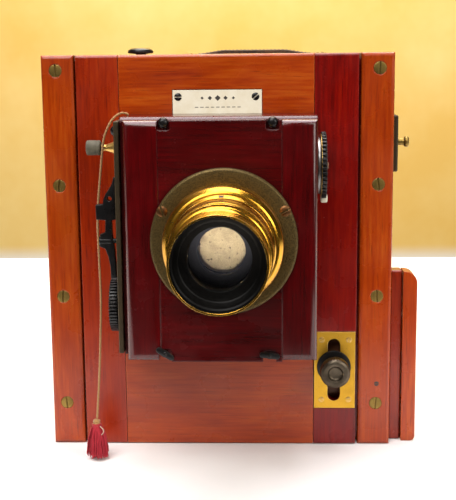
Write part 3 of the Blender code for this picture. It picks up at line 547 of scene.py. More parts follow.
def wall_paint():
    """Warm yellow plaster, cloudy, paling to white low down behind the table's far edge."""
    g = Graph("wall_yellow")
    clouds = g.noise(g.mapped(), 1.6, 5.0, 0.6)
    tone = g.ramp(clouds, [(0.38, (0.88, 0.56, 0.15)), (0.62, (0.96, 0.70, 0.27))])
    height = g.add("ShaderNodeSeparateXYZ", Vector=g.coord).outputs["Z"]
    low = g.add("ShaderNodeMapRange")
    low.interpolation_type = "SMOOTHSTEP"
    for key, v in zip(range(5), (height, -0.330, -0.262, 1.0, 0.0)):
        g.put(low, "in%d" % key, v)
    return g.set(Base_Color=g.mix(low.outputs[0], tone, (1.0, 0.985, 0.94)), Roughness=0.85,
                 Specular_IOR_Level=0.1)


wall = finish_mesh("wall", slab_mesh((-4000, 4000), (2300, 2340), (-1400, 2600)), wall_paint())

# ===================================================================== the cord first
CORD_D = 1.5
# the route of the CAD cord: X, distance ahead of the panel, Z, in mm
ROUTE = [(-54.4, 22.0, 221.9), (-55.8, 22.6, 222.8), (-58.4, 23.6, 223.0),
         (-61.4, 24.8, 221.6), (-64.6, 26.2, 218.2), (-67.4, 27.4, 212.6), (-69.6, 28.4, 205.0),
         (-71.9, 29.0, 185.0), (-74.3, 29.0, 159.5), (-74.2, 29.0, 132.0), (-73.9, 29.0, 105.0),
         (-75.8, 29.0, 64.0), (-78.6, 29.0, 27.5)]


def smooth(points, per=24):
    pts = [Vector((x, ahead(d), z)) for x, d, z in points]
    pts = [2 * pts[0] - pts[1]] + pts + [2 * pts[-1] - pts[-2]]
    fine = []
    for p0, p1, p2, p3 in zip(pts, pts[1:], pts[2:], pts[3:]):
        for i in range(per):
            t = i / per
            fine.append(0.5 * (2 * p1 + (p2 - p0) * t + (2 * p0 - 5 * p1 + 4 * p2 - p3) * t * t
                               + (3 * p1 - p0 - 3 * p2 + p3) * t ** 3))
    fine.append(pts[-2])
    return fine


cord_line = smooth(ROUTE, 30)
tan_cord = cloth("cord_fibres", (0.24, 0.11, 0.03), (0.52, 0.30, 0.11), 5200.0, sheen=0.3)
crimson = cloth("silk_threads", (0.26, 0.0, 0.008), (0.58, 0.004, 0.03), 3600.0, sheen=0.12,
                rough=0.6)
bm = bmesh.new()
tube_mesh(bm, cord_line, CORD_D / 2, 12, twist=2.4, lobes=3, depth=0.13)
cord = finish_mesh("shutter_cord_twisted", bm, tan_cord, "panel", "shutter_cord", "cord",
                   sharp=80)

TASSEL = Vector((-79.0, ahead(29.0), 0.0))
rng = random.Random(7)
bm = bmesh.new()
for i in range(190):
    ring = math.sqrt(rng.random())
    a = rng.random() * 2 * math.pi
    out = Vector((math.cos(a), math.sin(a), 0))
    tip = TASSEL + out * ring * 7.3 + Vector((0, 0, 1.5 + rng.random() * 3.2))
    root = TASSEL + out * ring * 2.4 + Vector((0, 0, 23.2))
    belly = root.lerp(tip, 0.30) + out * (2.2 * ring + 0.8 * rng.random())
    line = []
    for k in range(8):
        t = k / 7
        p = root * (1 - t) ** 2 + belly * 2 * t * (1 - t) + tip * t * t
        line.append(p + Vector((rng.uniform(-.30, .30), rng.uniform(-.30, .30), 0)) * t)
    tube_mesh(bm, line, 0.40, 5, taper=lambda t: 1.0 - 0.35 * t)
tassel = finish_mesh("tassel_strands", bm, crimson, "panel", (), "silk", sharp=80)
bm = bmesh.new()
for k in range(4):
    z = 21.6 + k * 0.6
    tube_mesh(bm, [TASSEL + Vector((2.9 * math.cos(t / 24 * math.tau),
                                    2.9 * math.sin(t / 24 * math.tau), z + t / 24 * 0.6))
                   for t in range(25)], 0.34, 6)
binding = finish_mesh("tassel_binding", bm, crimson, "panel", (), "silk", sharp=80)
pale = cloth("pale_thread", (0.40, 0.30, 0.20), (0.72, 0.60, 0.46), 5200.0, sheen=0.3)
bm = bmesh.new()
tube_mesh(bm, [TASSEL + Vector((2.6 + 2.2 * math.sin(t / 20 * math.pi), -3.2,
                                23.0 - 6.5 * t / 20)) for t in range(21)], 0.32, 6)
loop = finish_mesh("tassel_loop", bm, pale, "panel", (), "cord", sharp=80)
knot = lathe("tassel_knot", [(0, 27.0), (1.2, 26.8), (2.0, 26.2), (2.4, 25.4), (2.0, 24.6),
                             (2.8, 24.0), (2.9, 22.6), (0, 22.0)],
             TASSEL, tan_cord, "panel", "+Z", 20, replaces="cord_tassel", slot="cord",
             ripple=lambda a, r, h: r * (1 + 0.10 * math.sin(5 * a + h * 1.7)), sharp=80)

# ========================================================================= materials
ORANGE = dict(dark=(0.21, 0.012, 0.0005), mid=(0.37, 0.042, 0.001), light=(0.50, 0.095, 0.006))
REDDER = dict(dark=(0.13, 0.005, 0.0004), mid=(0.29, 0.018, 0.0006), light=(0.40, 0.042, 0.002))
CRIMSON = dict(dark=(0.08, 0.0006, 0.0004), mid=(0.20, 0.0025, 0.0006), light=(0.30, 0.012, 0.001))
MAROON = dict(dark=(0.028, 0.0001, 0.0003), mid=(0.062, 0.0003, 0.0008),
              light=(0.115, 0.0008, 0.002))
INNER = dict(dark=(0.12, 0.05, 0.02), mid=(0.22, 0.10, 0.045), light=(0.32, 0.16, 0.08))
LACQUER = dict(rough=0.20, coat=0.25, pores=0.3, wear=(0.10, 0.03, 0.03), shine=0.45)


def paint(node, mat):
    """Gives a CAD solid this material in place of its own."""
    materials = NODES[node].data.materials
    materials.clear()
    materials.append(mat)


woods = {
    "left_wall": (REDDER, "Z"), "right_wall": (ORANGE, "Z"), "top_board": (ORANGE, "X"),
    "baffle_board": (INNER, "X"), "bed_board": (REDDER, "Y"),
    "guide_strip_left": (ORANGE, "Z"), "guide_strip_right": (ORANGE, "Z"),
    # painted shade: the side block's batten takes the darker REDDER tone for the shade of its
    # recess beside the cheek
    "side_block_batten": (REDDER, "Z"), "side_block_cheek": (ORANGE, "Z"),
    "panel_board": (ORANGE, "X"), "panel_cleat_left": (REDDER, "Z"),
    "panel_cleat_right": (CRIMSON, "Z"), "shutter_case": (MAROON, "Z"),
    "carriage": (INNER, "X"), "rear_frame": (REDDER, "X"), "screen_frame": (ORANGE, "X"),
    "upper_roller": (INNER, "X"), "lower_roller": (INNER, "X"),
}
for i, (node, (tones, grain)) in enumerate(sorted(woods.items())):
    extra = LACQUER if tones is MAROON else \
        dict(rough=0.5, coat=0.0, pores=0.4) if tones is INNER else {}
    paint(node, wood("wood_" + node, grain=grain, seed=i + 1, **tones, **extra))

brass = metal("brass_old", (0.80, 0.52, 0.16), (0.34, 0.19, 0.06), 0.30, 0.6,
              edge=(0.95, 0.72, 0.34))
brass_plate = metal("brass_bright", (0.78, 0.44, 0.045), (0.48, 0.25, 0.03), 0.36, 0.40,
                    edge=(1.0, 0.80, 0.36), scale=0.7)
gilt = metal("brass_lacquered", (0.72, 0.37, 0.035), (0.40, 0.19, 0.02), 0.20, 0.40, scale=0.5,
             edge=(0.95, 0.66, 0.26), fine=0.05, coat=0.08)
bronze = granular("bronze_granular", (0.012, 0.009, 0.004), (0.115, 0.080, 0.028))
knob_metal = metal("knob_metal", (0.13, 0.105, 0.075), (0.035, 0.025, 0.016), 0.38, 0.8,
                   edge=(0.50, 0.42, 0.30))
flange_metal = metal("screw_reddish", (0.16, 0.075, 0.030), (0.05, 0.02, 0.01), 0.40, 0.7,
                     edge=(0.34, 0.18, 0.08))
screw_metal = metal("screw_dull", (0.30, 0.20, 0.055), (0.13, 0.075, 0.02), 0.42, 0.7,
                    edge=(0.50, 0.36, 0.14))
steel = metal("steel_dull", (0.50, 0.50, 0.50), (0.20, 0.17, 0.14), 0.34, 0.6,
              edge=(0.75, 0.75, 0.74))
black = metal("blackened_metal", (0.007, 0.0065, 0.007), (0.003, 0.0026, 0.0026), 0.30, 0.5,
              edge=(0.10, 0.085, 0.075), metallic=0.3)
olive = metal("plate_dull", (0.070, 0.050, 0.026), (0.022, 0.015, 0.008), 0.42, 0.7,
              edge=(0.18, 0.13, 0.07), metallic=0.6)
black_paint = plain("matt_black", (0.0022, 0.0020, 0.0018), 0.42, (0.005, 0.0045, 0.004), 500.0,
                    Specular_IOR_Level=0.12)
rubber = plain("old_rubber", (0.13, 0.115, 0.075), 0.7, (0.07, 0.062, 0.04), 240.0, 0.3, 0.1)
ivory = plain("ivory_plate", (0.86, 0.82, 0.66), 0.4, (0.78, 0.72, 0.54), 120.0, 0.05)
ink = plain("engraved_ink", (0.05, 0.045, 0.04), 0.6)
lens_glass = clear("lens_glass", (0.02, 0.02, 0.025), 0.02, 0.20, 2.0)
second_glass = clear("second_glass", (0.02, 0.02, 0.025), 0.02, 0.10, 1.5)
matt_glass = clear("ground_glass", (0.85, 0.87, 0.85), 0.40, 0.72)

for node, mat in {"focus_rack": brass, "clamp_bush": brass, "tripod_plate": brass_plate,
                  "slot_plate": brass_plate, "name_plate": ivory, "side_catch_plate": olive,
                  "mechanism_plate": olive, "screen_hinge": brass, "lock_stud": brass,
                  "ground_glass": matt_glass, "clamp_washer": black,
                  "focus_shaft": brass, "side_catch_knob": steel, "back_lock": brass,
                  "lens_flange": bronze, "lens_barrel": gilt, "lens_hood": gilt,
                  "iris_ring": gilt, "front_glass": lens_glass, "rear_glass": second_glass,
                  "clamp_knob": knob_metal, "winder_wheel": black, "speed_disc": black,
                  "release_lever": black, "turn_button_left": black,
                  "turn_button_right": black, "hose_nipple": gilt, "hose_stub": rubber}.items():
    paint(node, mat)

# ============================================================================== lens
AXIS = (LENS_X, FRONT, LENS_Z)
lathe("flange_ring", [(34.3, 57.9), (43.2, 57.9), (44.4, 57.0), (44.5, 54.3), (34.3, 54.3)],
      AXIS, bronze, "panel", ring=True, replaces="lens_flange", slot="bronze", steps=128)


def lens_ring(name, profile, mat=gilt, body="panel", steps=128, **more):
    """A ring turned about the optical axis."""
    lathe(name, profile, AXIS, mat, body, ring=True, slot="gilt", steps=steps, **more)


lens_ring("barrel_tube",
      [(29.6, 108.0), (29.6, 102.6), (29.1, 102.3), (29.1, 101.9), (29.6, 101.6), (29.6, 79.2),
       (31.8, 79.2), (33.2, 78.6), (35.2, 75.6), (35.7, 74.0), (35.7, 60.2), (34.9, 59.6),
       (34.9, 58.2), (32.9, 58.2), (32.9, 38.0), (27.6, 38.0), (27.6, 87.0), (27.6, 88.8),
       (20.7, 88.8), (20.7, 108.0)], replaces="lens_barrel")
lens_ring("iris_knurled",
      [(30.3, 87.2), (31.2, 85.6), (31.2, 84.6), (30.8, 84.3), (30.8, 81.4), (31.2, 81.1),
       (31.2, 79.6), (29.9, 79.6), (29.9, 87.2)], body="iris", replaces="iris_ring", soft=0.2)
lens_ring("hood_shell",
      [(26.0, 134.0), (27.3, 134.0), (27.3, 131.4), (27.0, 131.0), (27.0, 114.0), (27.6, 113.2),
       (28.6, 112.6), (28.6, 108.4), (27.2, 108.4), (26.2, 112.0), (25.9, 116.0)],
          replaces="lens_hood")
lens_ring("hood_lining",
      [(25.9, 133.7), (25.95, 132.0), (25.9, 127.4), (25.0, 127.0), (24.2, 124.8), (22.6, 122.4),
       (22.0, 122.2), (20.2, 118.6), (18.4, 115.0), (17.9, 114.6), (17.9, 108.6), (24.0, 108.6),
       (26.0, 116.5)], black_paint)
lens_ring("barrel_lining", [(20.6, 107.8), (20.5, 107.9), (20.4, 89.2), (13.8, 88.7), (13.7, 87.1),
                            (27.4, 86.9), (27.4, 87.6), (20.65, 88.4)],
          black_paint, steps=96, soft=0)
lens_ring("rear_lining", [(27.5, 86.6), (27.5, 47.4), (27.2, 47.4), (27.2, 86.6)], black_paint,
          steps=64, soft=0)
lathe("front_element", [(0, 99.0), (5.0, 98.75), (10.0, 98.0), (15.0, 96.7), (20.2, 94.6),
                        (20.2, 92.0), (0, 92.0)], AXIS, lens_glass, "panel",
      replaces="front_glass", slot="glass", steps=64, soft=0)
lens_ring("rear_stop", [(27.4, 48.4), (20.2, 48.4), (20.2, 47.4), (27.4, 47.4)], black_paint,
          steps=64, soft=0)
lathe("rear_element", [(0, 47.0), (27.0, 47.0), (27.0, 44.0), (18.0, 42.6), (9.0, 41.9), (0, 41.8)],
      AXIS, second_glass, "panel", replaces="rear_glass", slot="glass", steps=64, soft=0)
for i, a in enumerate((27.0, 153.0, 270.0)):
    at = (LENS_X + 41.2 * math.cos(math.radians(a)), ahead(57.6),
          LENS_Z + 41.2 * math.sin(math.radians(a)))
    screw_head("flange_screw_%d" % i, at, "-Y", 3.6, flange_metal, "panel", 30 + 75 * i, 0.30)

# iris blades behind the front cell, open to a near circle
bm = bmesh.new()
BLADES, OPEN_R = 12, 13.7
for k in range(BLADES):
    a0 = 360.0 * k / BLADES
    inner = arc(0, 0, OPEN_R, a0 - 32, a0 + 32, 12)
    outer = arc(0, 0, 20.0, a0 + 44, a0 - 18, 8)
    h0, h1 = 85.2, 86.3
    ring = []
    for u, v in inner + outer:
        ang = math.degrees(math.atan2(v, u)) - a0
        lift = h0 + (h1 - h0) * ((ang + 180) % 360 - 180 + 32) / 76
        ring.append(bm.verts.new(Vector((LENS_X + u, ahead(lift), LENS_Z + v)) * MM))
    bm.faces.new(ring)
bmesh.ops.solidify(bm, geom=bm.faces[:], thickness=0.12 * MM)
finish_mesh("iris_blades", bm, black, "panel", slot="gilt")
finish_mesh("iris_index", slab_mesh((LENS_X - 1.5, LENS_X + 1.5), (ahead(87.0), ahead(84.6)),
                                    (LENS_Z + 30.4, LENS_Z + 31.5), 0.15), ink, "iris",
            slot="gilt")

# ==================================================================== shutter and board
lens_hole = lathe_mesh([(0, 60), (33.6, 60), (33.6, 38), (0, 38)], AXIS, "-Y", 96)
seams = (-33.5, 40.8)
spans = ((BOARD_X[0], seams[0] - 0.06), (seams[0] + 0.06, seams[1] - 0.06),
         (seams[1] + 0.06, BOARD_X[1]))
for i, (name, (lo, hi)) in enumerate(zip(("left", "middle", "right"), spans)):
    def at_rim(e, lo=lo, hi=hi):
        front = all(abs(v.co.y / MM - ahead(BOARD_D)) < 0.01 for v in e.verts)
        xs = [v.co.x / MM for v in e.verts]
        on_seam = all(min(abs(x - s) for s in seams) < 0.2 for x in xs)
        return front and not on_seam
    mat = wood("wood_lens_board_" + name, grain="Z" if i != 1 else "X", seed=41 + i,
               **LACQUER, **MAROON)
    piece = slab("lens_board_" + name, (lo, hi), (ahead(BOARD_D), ahead(CASE_D + 0.3)), BOARD_Z,
                 mat, "panel", bevel=4.5, segments=6, pick=at_rim, slot="maroon",
                 replaces="lens_board")
    cuts = [lens_hole.copy()]
    for x, z, top in ((-31.0, 77.6, False), (33.1, 76.6, False), (-29.8, 214.3, True),
                      (35.2, 214.3, True)):
        if lo - 4 < x < hi + 4:
            zs = (z - 0.4, BOARD_Z[1] + 4) if top else (BOARD_Z[0] - 4, z + 2.6)
            cuts.append(slab_mesh((x - 4, x + 4), (ahead(BOARD_D + 3), ahead(CASE_D - 1)), zs,
                                  1.6, 3, lambda e: abs(e.verts[0].co.y - e.verts[1].co.y) > 0.01))
    carve(piece, *cuts)
lens_hole.free()

for i, x in enumerate((-29.8, 35.2)):
    lathe("top_stud_%d" % i, [(0, 54.2), (1.6, 54.0), (2.7, 53.2), (3.3, 51.8), (3.3, 50.8),
                              (1.5, 50.2), (1.5, 38.0), (0, 38.0)], (x, FRONT, 218.2), black,
          "panel", steps=28, slot="blackened")
BUTTONS = {"left": (-31.0, 77.6, -32.0), "right": (33.1, 76.6, -7.0)}
for side, (x, z, tilt) in BUTTONS.items():
    shape = arc(4.4, 0, 1.8, -90, 90, 10) + arc(0, 0, 2.2, 60, 120, 4) \
        + arc(-4.4, 0, 1.8, 90, 270, 10) + arc(0, 0, 2.2, 240, 300, 4)
    c, s = math.cos(math.radians(-tilt)), math.sin(math.radians(-tilt))
    turned = [(x + u * c + v * s, z - u * s + v * c) for u, v in shape]
    finish_mesh("button_" + side, outline_mesh(turned, "XZ", ahead(56.3), ahead(54.4), 0.5), black,
                "button_" + side, "turn_button_" + side, "blackened")
    screw_head("button_screw_" + side, (x, ahead(56.3), z), "-Y", 1.4, black, "button_" + side,
               20, 0.3)

# blind: a cloth sheet between the rollers
cream = cloth("blind_cream", (0.62, 0.45, 0.23), (0.86, 0.68, 0.38), 3000.0, specks=1.0)
bm = bmesh.new()
cols, rows = 14, 40
grid = []
for r in range(rows + 1):
    t = r / rows
    z = ROLLER_LOW_Z + (ROLLER_TOP_Z - ROLLER_LOW_Z) * t
    line = []
    for c in range(cols + 1):
        x = LENS_X - 41 + 82 * c / cols
        sway = 0.25 * math.sin(x * 0.11 + z * 0.05) + 0.2 * math.sin(z * 0.13 - x * 0.04)
        line.append(bm.verts.new(Vector((x, ahead(32.5 + sway), z)) * MM))
    grid.append(line)
for a, b in zip(grid, grid[1:]):
    for c in range(cols):
        bm.faces.new((a[c], a[c + 1], b[c + 1], b[c]))
bmesh.ops.solidify(bm, geom=bm.faces[:], thickness=0.25 * MM)
blind = finish_mesh("blind_sheet", bm, cream, "panel", "shutter_blind", "blind_cloth")


# wheels and lever of the shutter
def gear(r, depth, count, cy, cz):
    pts = []
    for i in range(count):
        for k, rr in ((-0.42, r - depth), (-0.24, r - 0.15), (-0.18, r), (0.18, r),
                      (0.24, r - 0.15), (0.42, r - depth)):
            a = (i + k) / count * math.tau
            pts.append((cy + rr * math.cos(a), cz + rr * math.sin(a)))
    return pts


DISC = (ahead(ROLLER_D), ROLLER_TOP_Z)
finish_mesh("disc_toothed", outline_mesh(gear(21.0, 1.5, 44, *DISC), "YZ", 65.2, 68.2, 0.25),
            black, "blind_roller", "speed_disc", "blackened")
lathe("disc_rim", [(20.0, 65.3), (20.0, 64.9), (18.6, 64.9), (18.6, 65.3)], (0, *DISC), brass,
      "blind_roller", "+X", 64, ring=True, slot="brass", soft=0)
lathe("disc_inner", [(0, 64.8), (17.0, 64.8), (17.5, 64.4), (17.5, 62.9), (17.0, 62.6), (0, 62.6)],
      (0, *DISC), steel, "blind_roller", "+X", 64, slot="steel")
lathe("disc_hub", [(0, 69.4), (3.2, 69.2), (4.6, 68.8), (6.0, 68.6), (6.0, 64.4), (0, 64.4)],
      (0, *DISC), steel, "blind_roller", "+X", 40, slot="steel")
finish_mesh("disc_pin", slab_mesh((64.6, 69.0), (DISC[0] - 8.5, DISC[0] - 2.5),
                                  (DISC[1] - 22.2, DISC[1] - 17.0), 1.2), ivory, "blind_roller",
            slot="ivory")
for i in range(12):
    a = math.tau * i / 12
    finish_mesh("disc_mark_%d" % i,
                slab_mesh((68.15, 68.32), (DISC[0] + 15.6 * math.cos(a) - 0.4,
                                           DISC[0] + 15.6 * math.cos(a) + 0.4),
                          (DISC[1] + 15.6 * math.sin(a) - 0.4, DISC[1] + 15.6 * math.sin(a) + 0.4),
                          0.05), ivory, "blind_roller", slot="ivory")

WIND = (ahead(ROLLER_D), ROLLER_LOW_Z)
finish_mesh("winder_toothed", outline_mesh(gear(17.3, 1.2, 48, *WIND), "YZ", -67.3, -62.0, 0.6),
            black, "winder", "winder_wheel", "blackened")
lathe("winder_dish", [(0, -68.2), (3.8, -68.0), (4.4, -67.6), (10.0, -67.5), (11.0, -67.7),
                      (12.6, -67.7), (13.0, -67.2), (13.0, -64.0), (6.0, -63.8), (6.0, -61.1),
                      (2.0, -61.0), (2.0, -46.0), (0, -46.0)][::-1],
      (0, *WIND), black, "winder", "+X", 56, slot="blackened")
screw_head("winder_screw", (-68.1, *WIND), "-X", 2.4, screw_metal, "winder", 35, 0.3)
screw_head("winder_pin", (-67.5, WIND[0] - 8.0, WIND[1]), "-X", 1.2, brass, "winder", 0, 0.5)

LEVER_D, LEVER_Z = 40.0, 145.5
bar = [(-64.9, 122.4), (-61.6, 122.6), (-61.9, 131.2), (-62.5, 141.3), (-63.7, 149.5),
       (-63.8, 158.6), (-61.3, 158.9), (-61.2, 184.7), (-61.9, 184.9), (-62.8, 181.2),
       (-64.7, 178.0), (-66.9, 174.8), (-68.3, 171.4), (-68.8, 168.4), (-73.2, 168.2),
       (-73.1, 159.1), (-67.4, 158.6), (-67.8, 151.0), (-71.0, 149.8), (-71.2, 142.2),
       (-68.0, 140.9), (-66.2, 136.0), (-65.1, 129.5)]
lever = finish_mesh("lever_bar", outline_mesh(bar, "XZ", ahead(LEVER_D + 2.9),
                                              ahead(LEVER_D - 2.9), 0.35),
                    black, "release", "release_lever", "blackened")
eye = bmesh.new()
bmesh.ops.create_cone(eye, cap_ends=True, segments=28, radius1=1.5 * MM, radius2=1.5 * MM,
                      depth=14 * MM, matrix=Matrix.Translation(
                          Vector((-64.6, ahead(LEVER_D), 171.9)) * MM)
                      @ Matrix.Rotation(math.pi / 2, 4, "X"))
carve(lever, eye)
lathe("lever_pivot", [(0, -58.0), (1.5, -58.0), (1.5, -64.0), (3.2, -64.2), (3.2, -71.2),
                      (2.8, -71.8), (0, -72.0)],
      (0, ahead(LEVER_D), LEVER_Z), black, "release", "+X", 32, slot="blackened")

HOSE = (0, ahead(25.0), 201.8)
lathe("nipple_cone", [(0, -60.9), (5.0, -60.9), (5.0, -61.6), (3.6, -64.0), (2.1, -68.0),
                      (2.1, -71.2), (0, -71.2)], HOSE, brass, "panel", "+X", 32,
      replaces="hose_nipple", slot="brass", soft=0.2)
lathe("hose_end", [(0, -71.5), (4.0, -71.5), (4.6, -72.0), (4.7, -73.4), (4.45, -73.9),
                   (4.65, -74.6), (4.7, -78.8), (4.55, -80.2), (4.1, -80.5), (2.4, -80.5),
                   (2.2, -80.1), (2.2, -74.5), (0, -74.5)], HOSE, rubber, "panel", "+X", 32,
      replaces="hose_stub", slot="rubber", soft=0.2)
for i, (d, z) in enumerate(((14, 214.6), (14, 79.6), (40, 79.6), (14, 168))):
    screw_head("side_screw_%d" % i, (-60.6, ahead(d), z), "-X", 2.0, black, "panel", 50 * i, 0.35)
screw_head("side_screw_large", (-60.8, ahead(40), 213.0), "-X", 3.3, black, "panel", 20, 0.75)

# ================================================================== panel's small parts
for side, sign in (("left", -1), ("right", 1)):
    for i, z in enumerate((28.6, 101.5, 175.2, 249.2)):
        turn = {-1: (95, 87, 84, 93), 1: (85, 93, 96, 87)}[sign][i]
        screw_head("strip_screw_%s_%d" % (side, i + 1), (sign * 103.5, FRONT, z), "-Y", 4.05,
                   screw_metal, "front_box", turn, 0.06, "guide_screw_%s_%d" % (side, i + 1),
                   0.13, sink=0.05)
for i, (x, z) in enumerate(((-25.0, 232.0), (24.6, 232.0))):
    screw_head("name_pin_%d" % i, (x, FRONT, z), "-Y", 2.5, black, "panel", 40 * i, 0.25,
               slot_w=0.14)
for i, (x, z) in enumerate(((67.5, 72.0), (85.5, 72.0), (67.5, 31.0), (85.5, 31.0))):
    screw_head("slot_pin_%d" % i, (x, FRONT, z), "-Y", 2.0, brass, "panel", 35 + 50 * i, 0.10,
               slot_w=0.16)
# a plugged nail hole low on the right strip
screw_head("strip_plug", (104.0, FRONT, 42.0), "-Y", 1.6, ink, "front_box", 0, 0.05,
           slot_w=0.02)
# the plate's engraving is a plain ornament: diamonds over two broken rules
def engrave(name, mesh):
    finish_mesh(name, mesh, ink, "panel", slot="ivory")


for i, (x, size) in enumerate(((-9.6, 0.8), (-4.6, 1.1), (0.4, 1.5), (5.4, 1.1), (10.4, 0.8))):
    diamond = [(x + 1.25 * size * math.cos(a), 231.2 + 1.25 * size * math.sin(a))
               for a in (0, math.pi / 2, math.pi, 3 * math.pi / 2)]
    engrave("plate_diamond_%d" % i, outline_mesh(diamond, "XZ", FRONT - 0.03, FRONT + 0.1))
for row, (z, count, step) in enumerate(((225.4, 9, 3.4), (220.4, 13, 3.3))):
    for i in range(count):
        x = 0.4 + (i - (count - 1) / 2) * step
        engrave("plate_rule_%d_%d" % (row, i),
                slab_mesh((x - 1.1, x + 1.1), (FRONT - 0.03, FRONT + 0.1), (z - 0.22, z + 0.22)))

CLAMP = (75.7, FRONT, 53.7)
lathe("clamp_knurled", [(0, 15.6), (3.4, 15.7), (4.4, 16.4), (5.2, 18.0), (7.6, 18.0),
                        (9.0, 17.2), (9.8, 16.4), (9.8, 10.4), (8.6, 9.2), (4.6, 8.6), (3.8, 7.2),
                        (3.8, 4.0), (4.4, 3.2), (4.4, 2.1), (2.5, 2.1), (2.5, -14.5),
                        (0, -14.5)], CLAMP, knob_metal,
      "clamp", steps=216, replaces="clamp_knob", slot="bronze", soft=0.25,
      ripple=lambda a, r, h: r - (0.28 * (0.5 + 0.5 * math.cos(54 * a))
                                  if r > 9.6 and 10.2 < h < 16.6 else 0.0))
# the washer's black is partly its blackened metal and partly painted shadow of the knob falling on
# it
lathe("washer_dished", [(11.0, 1.7), (11.2, 1.2), (11.2, 0.5), (2.9, 0.5), (2.9, 1.5), (5.0, 1.8)],
      CLAMP, black, "clamp", steps=64, ring=True, replaces="clamp_washer", slot="blackened",
      soft=0.1)

# side catch
CATCH = (0.0, -89.5, 201.2)
lathe("catch_button", [(0, 125.0), (2.2, 125.0), (3.2, 124.6), (3.6, 124.0), (3.6, 122.6),
                       (3.0, 121.9), (2.3, 121.6), (2.3, 105.0), (0, 105.0)], CATCH, screw_metal,
      "side_catch", "+X", 40, replaces="side_catch_knob", slot="brass")
for i, z in enumerate((186.0, 214.6)):
    screw_head("catch_screw_%d" % i, (117.2, -89.5, z), "+X", 2.0, screw_metal, "front_box",
               70 * i, 0.25)
for i, (y, z) in enumerate(((-95.5, 22), (-95.5, 92))):
    screw_head("block_screw_%d" % i, (130.8, y, z), "+X", 3.6, screw_metal, "front_box",
               33 * i, 0.05, sink=0.05)

# ============================================================= carriage, frame and screen
SHAFT = (0.0, 77.5, 28.5)
for side, sign in (("left", -1), ("right", 1)):
    prof = [(0, 127.6), (6.0, 127.8), (7.0, 128.0), (10.6, 128.0), (11.6, 127.2), (12.0, 126.4),
            (12.0, 118.8), (11.2, 118.0), (8.0, 117.4), (6.0, 116.4), (6.0, 114.6), (3.0, 114.6),
            (3.0, 84.0), (0, 84.0)]
    lathe("focus_knob_" + side, prof, SHAFT, brass, "focus_shaft", "+X" if sign > 0 else "-X", 240,
          slot="brass", soft=0.25,
          ripple=lambda a, r, h: r - (0.35 * (0.5 + 0.5 * math.cos(60 * a))
                                      if r > 11.9 and 118.5 < h < 126.8 else 0.0))

LOCK = (-70.6, 77.5, 0.0)
lathe("lock_knob", [(0, 266.2), (5.6, 266.4), (7.4, 266.3), (9.6, 265.2), (10.4, 263.8),
                    (10.4, 262.8), (9.0, 262.3), (5.0, 262.0), (4.0, 261.8), (4.0, 260.9),
                    (0, 260.9)], LOCK, black, "lock",
      "+Z", 144, slot="blackened", soft=0.25,
      ripple=lambda a, r, h: r - (0.3 * (0.5 + 0.5 * math.cos(36 * a))
                                  if r > 10.3 and 262.6 < h < 265.0 else 0.0))
bm = bmesh.new()
hook = arc(*LOCK[:2], 29.5, 138, 185, 16) + arc(*LOCK[:2], 7.0, 200, 510, 32) \
    + arc(*LOCK[:2], 26.1, 165, 138, 10)
finish_mesh("lock_hook", outline_mesh(hook, "XY", HEIGHT + 0.35, HEIGHT + 2.2, 0.3), brass, "lock",
            "back_lock", "brass")


# bellows: twelve folds of thin leather between the front box and the rear frame
def bellows_piece():
    y0, y1, folds, depth = -94.4, 59.7, 12, 6.0
    front, rear = (78.0, 64.0, 230.0), (98.0, 70.0, 224.0)
    per = 4
    rows = folds * 2 * per
    bm = bmesh.new()
    rings = []
    for i in range(rows + 1):
        t = i / rows
        half, low, high = (a + (b - a) * t for a, b in zip(front, rear))
        phase = (t * folds) % 1.0
        zig = 1 - abs(2 * phase - 1)
        zig = zig * zig * (3 - 2 * zig) * 0.35 + zig * 0.65
        y = y0 + (y1 - y0) * t
        ring = []
        # the folds at the corners are tucked: the corner alternates against the sides
        for side in range(4):
            for k in range(10):
                u = k / 10
                edge = min(u, 1 - u)
                corner = max(0.0, 1 - edge / 0.12)
                fold = depth * (zig * (1 - corner) + (1 - zig) * corner * 0.85)
                x0, x1, z0, z1 = -half + fold, half - fold, low + fold, high - fold
                x, z = ((x0 + (x1 - x0) * u, z0), (x1, z0 + (z1 - z0) * u),
                        (x1 - (x1 - x0) * u, z1), (x0, z1 - (z1 - z0) * u))[side]
                ring.append(bm.verts.new(Vector((x, y, z)) * MM))
        rings.append(ring)
    n = len(rings[0])
    for a, b in zip(rings, rings[1:]):
        for k in range(n):
            j = (k + 1) % n
            bm.faces.new((a[k], a[j], b[j], b[k]))
    bmesh.ops.recalc_face_normals(bm, faces=bm.faces)
    bmesh.ops.solidify(bm, geom=bm.faces[:], thickness=0.8 * MM)
    mat = hide("bellows_leather", (0.010, 0.009, 0.010), (0.055, 0.045, 0.045), 900.0, 0.6, 0.08)
    ob = finish_mesh("bellows_folds", bm, mat, None, "bellows", "bellows_cloth", sharp=26)
    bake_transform(ob)
    return ob


bellows_piece()


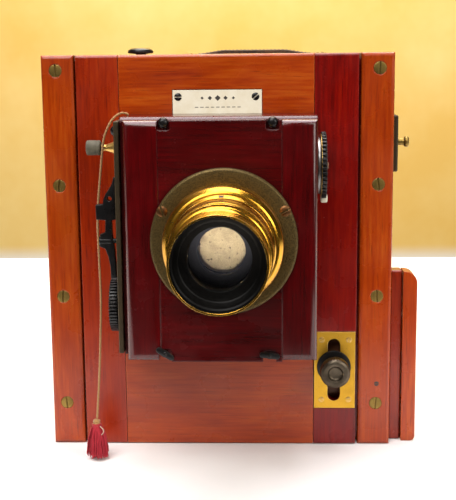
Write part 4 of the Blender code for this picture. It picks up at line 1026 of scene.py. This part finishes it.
# handle: a padded, stitched leather strap screwed down at its ends
def handle_piece():
    cx, half, wide = 21.5, 58.0, 16.6
    lower = bmesh.new()
    rows, across = 72, 12
    top, bottom = [], []

    def heights(x):
        """Underside and top of the strap along its middle."""
        t = min(1.0, max(0.0, (0.80 - abs(x - cx) / half) / 0.42))
        t = t * t * (3 - 2 * t)
        return HEIGHT + 0.35 + 2.2 * t, HEIGHT + 2.5 + 2.8 * t

    for i in range(rows + 1):
        x = cx - half + 2 * half * i / rows
        u = abs(x - cx) / half
        w = wide * (0.86 + 0.14 * math.cos(math.pi * min(1.0, u * 1.25)) ** 2)
        w *= 1.0 if u < 0.93 else math.sqrt(max(0.02, 1 - ((u - 0.93) / 0.075) ** 2))
        low_z, high_z = heights(x)
        line_t, line_b = [], []
        for k in range(across + 1):
            v = 2 * k / across - 1
            edge = max(0.0, 1 - (1 - abs(v)) / 0.18) ** 2
            y = 77.5 + v * w / 2
            line_t.append(lower.verts.new(Vector((x, y, high_z - 0.5 * edge)) * MM))
            line_b.append(lower.verts.new(Vector((x, y, low_z + 0.2 * edge)) * MM))
        top.append(line_t)
        bottom.append(line_b)
    for a, b, c, d in zip(top, top[1:], bottom, bottom[1:]):
        for k in range(across):
            lower.faces.new((a[k], a[k + 1], b[k + 1], b[k]))
            lower.faces.new((c[k + 1], c[k], d[k], d[k + 1]))
        lower.faces.new((a[0], b[0], d[0], c[0]))
        lower.faces.new((b[-1], a[-1], c[-1], d[-1]))
    for t_row, b_row, turn in ((top[0], bottom[0], 1), (top[-1], bottom[-1], -1)):
        for k in range(across):
            face = (t_row[k], b_row[k], b_row[k + 1], t_row[k + 1])
            lower.faces.new(face if turn > 0 else face[::-1])
    leather = hide("handle_leather", (0.020, 0.010, 0.004), (0.10, 0.050, 0.022), 620.0, 0.5, 0.12)
    finish_mesh("handle_strap", lower, leather, "carriage", "handle", "leather", sharp=45)
    thread = cloth("handle_thread", (0.18, 0.12, 0.07), (0.40, 0.30, 0.18), 5000.0)
    stitches = bmesh.new()
    for v in (-0.72, 0.72):
        for i in range(30):
            x = cx - 44 + 88 * i / 29
            y = 77.5 + v * wide / 2
            z = heights(x)[1]
            tube_mesh(stitches, [(x - 1.0, y, heights(x - 1.0)[1] - 0.25), (x - 0.5, y, z + 0.08),
                                 (x + 0.5, y, z + 0.08), (x + 1.0, y, heights(x + 1.0)[1] - 0.25)],
                      0.28, 6)
    finish_mesh("handle_stitches", stitches, thread, "carriage", slot="leather", sharp=80)
    for i, x in enumerate((cx - 53, cx + 53)):
        screw_head("handle_screw_%d" % i, (x, 77.5, HEIGHT + 2.5), "+Z", 3.2, screw_metal,
                   "carriage", 25 + 60 * i, 0.3)


handle_piece()
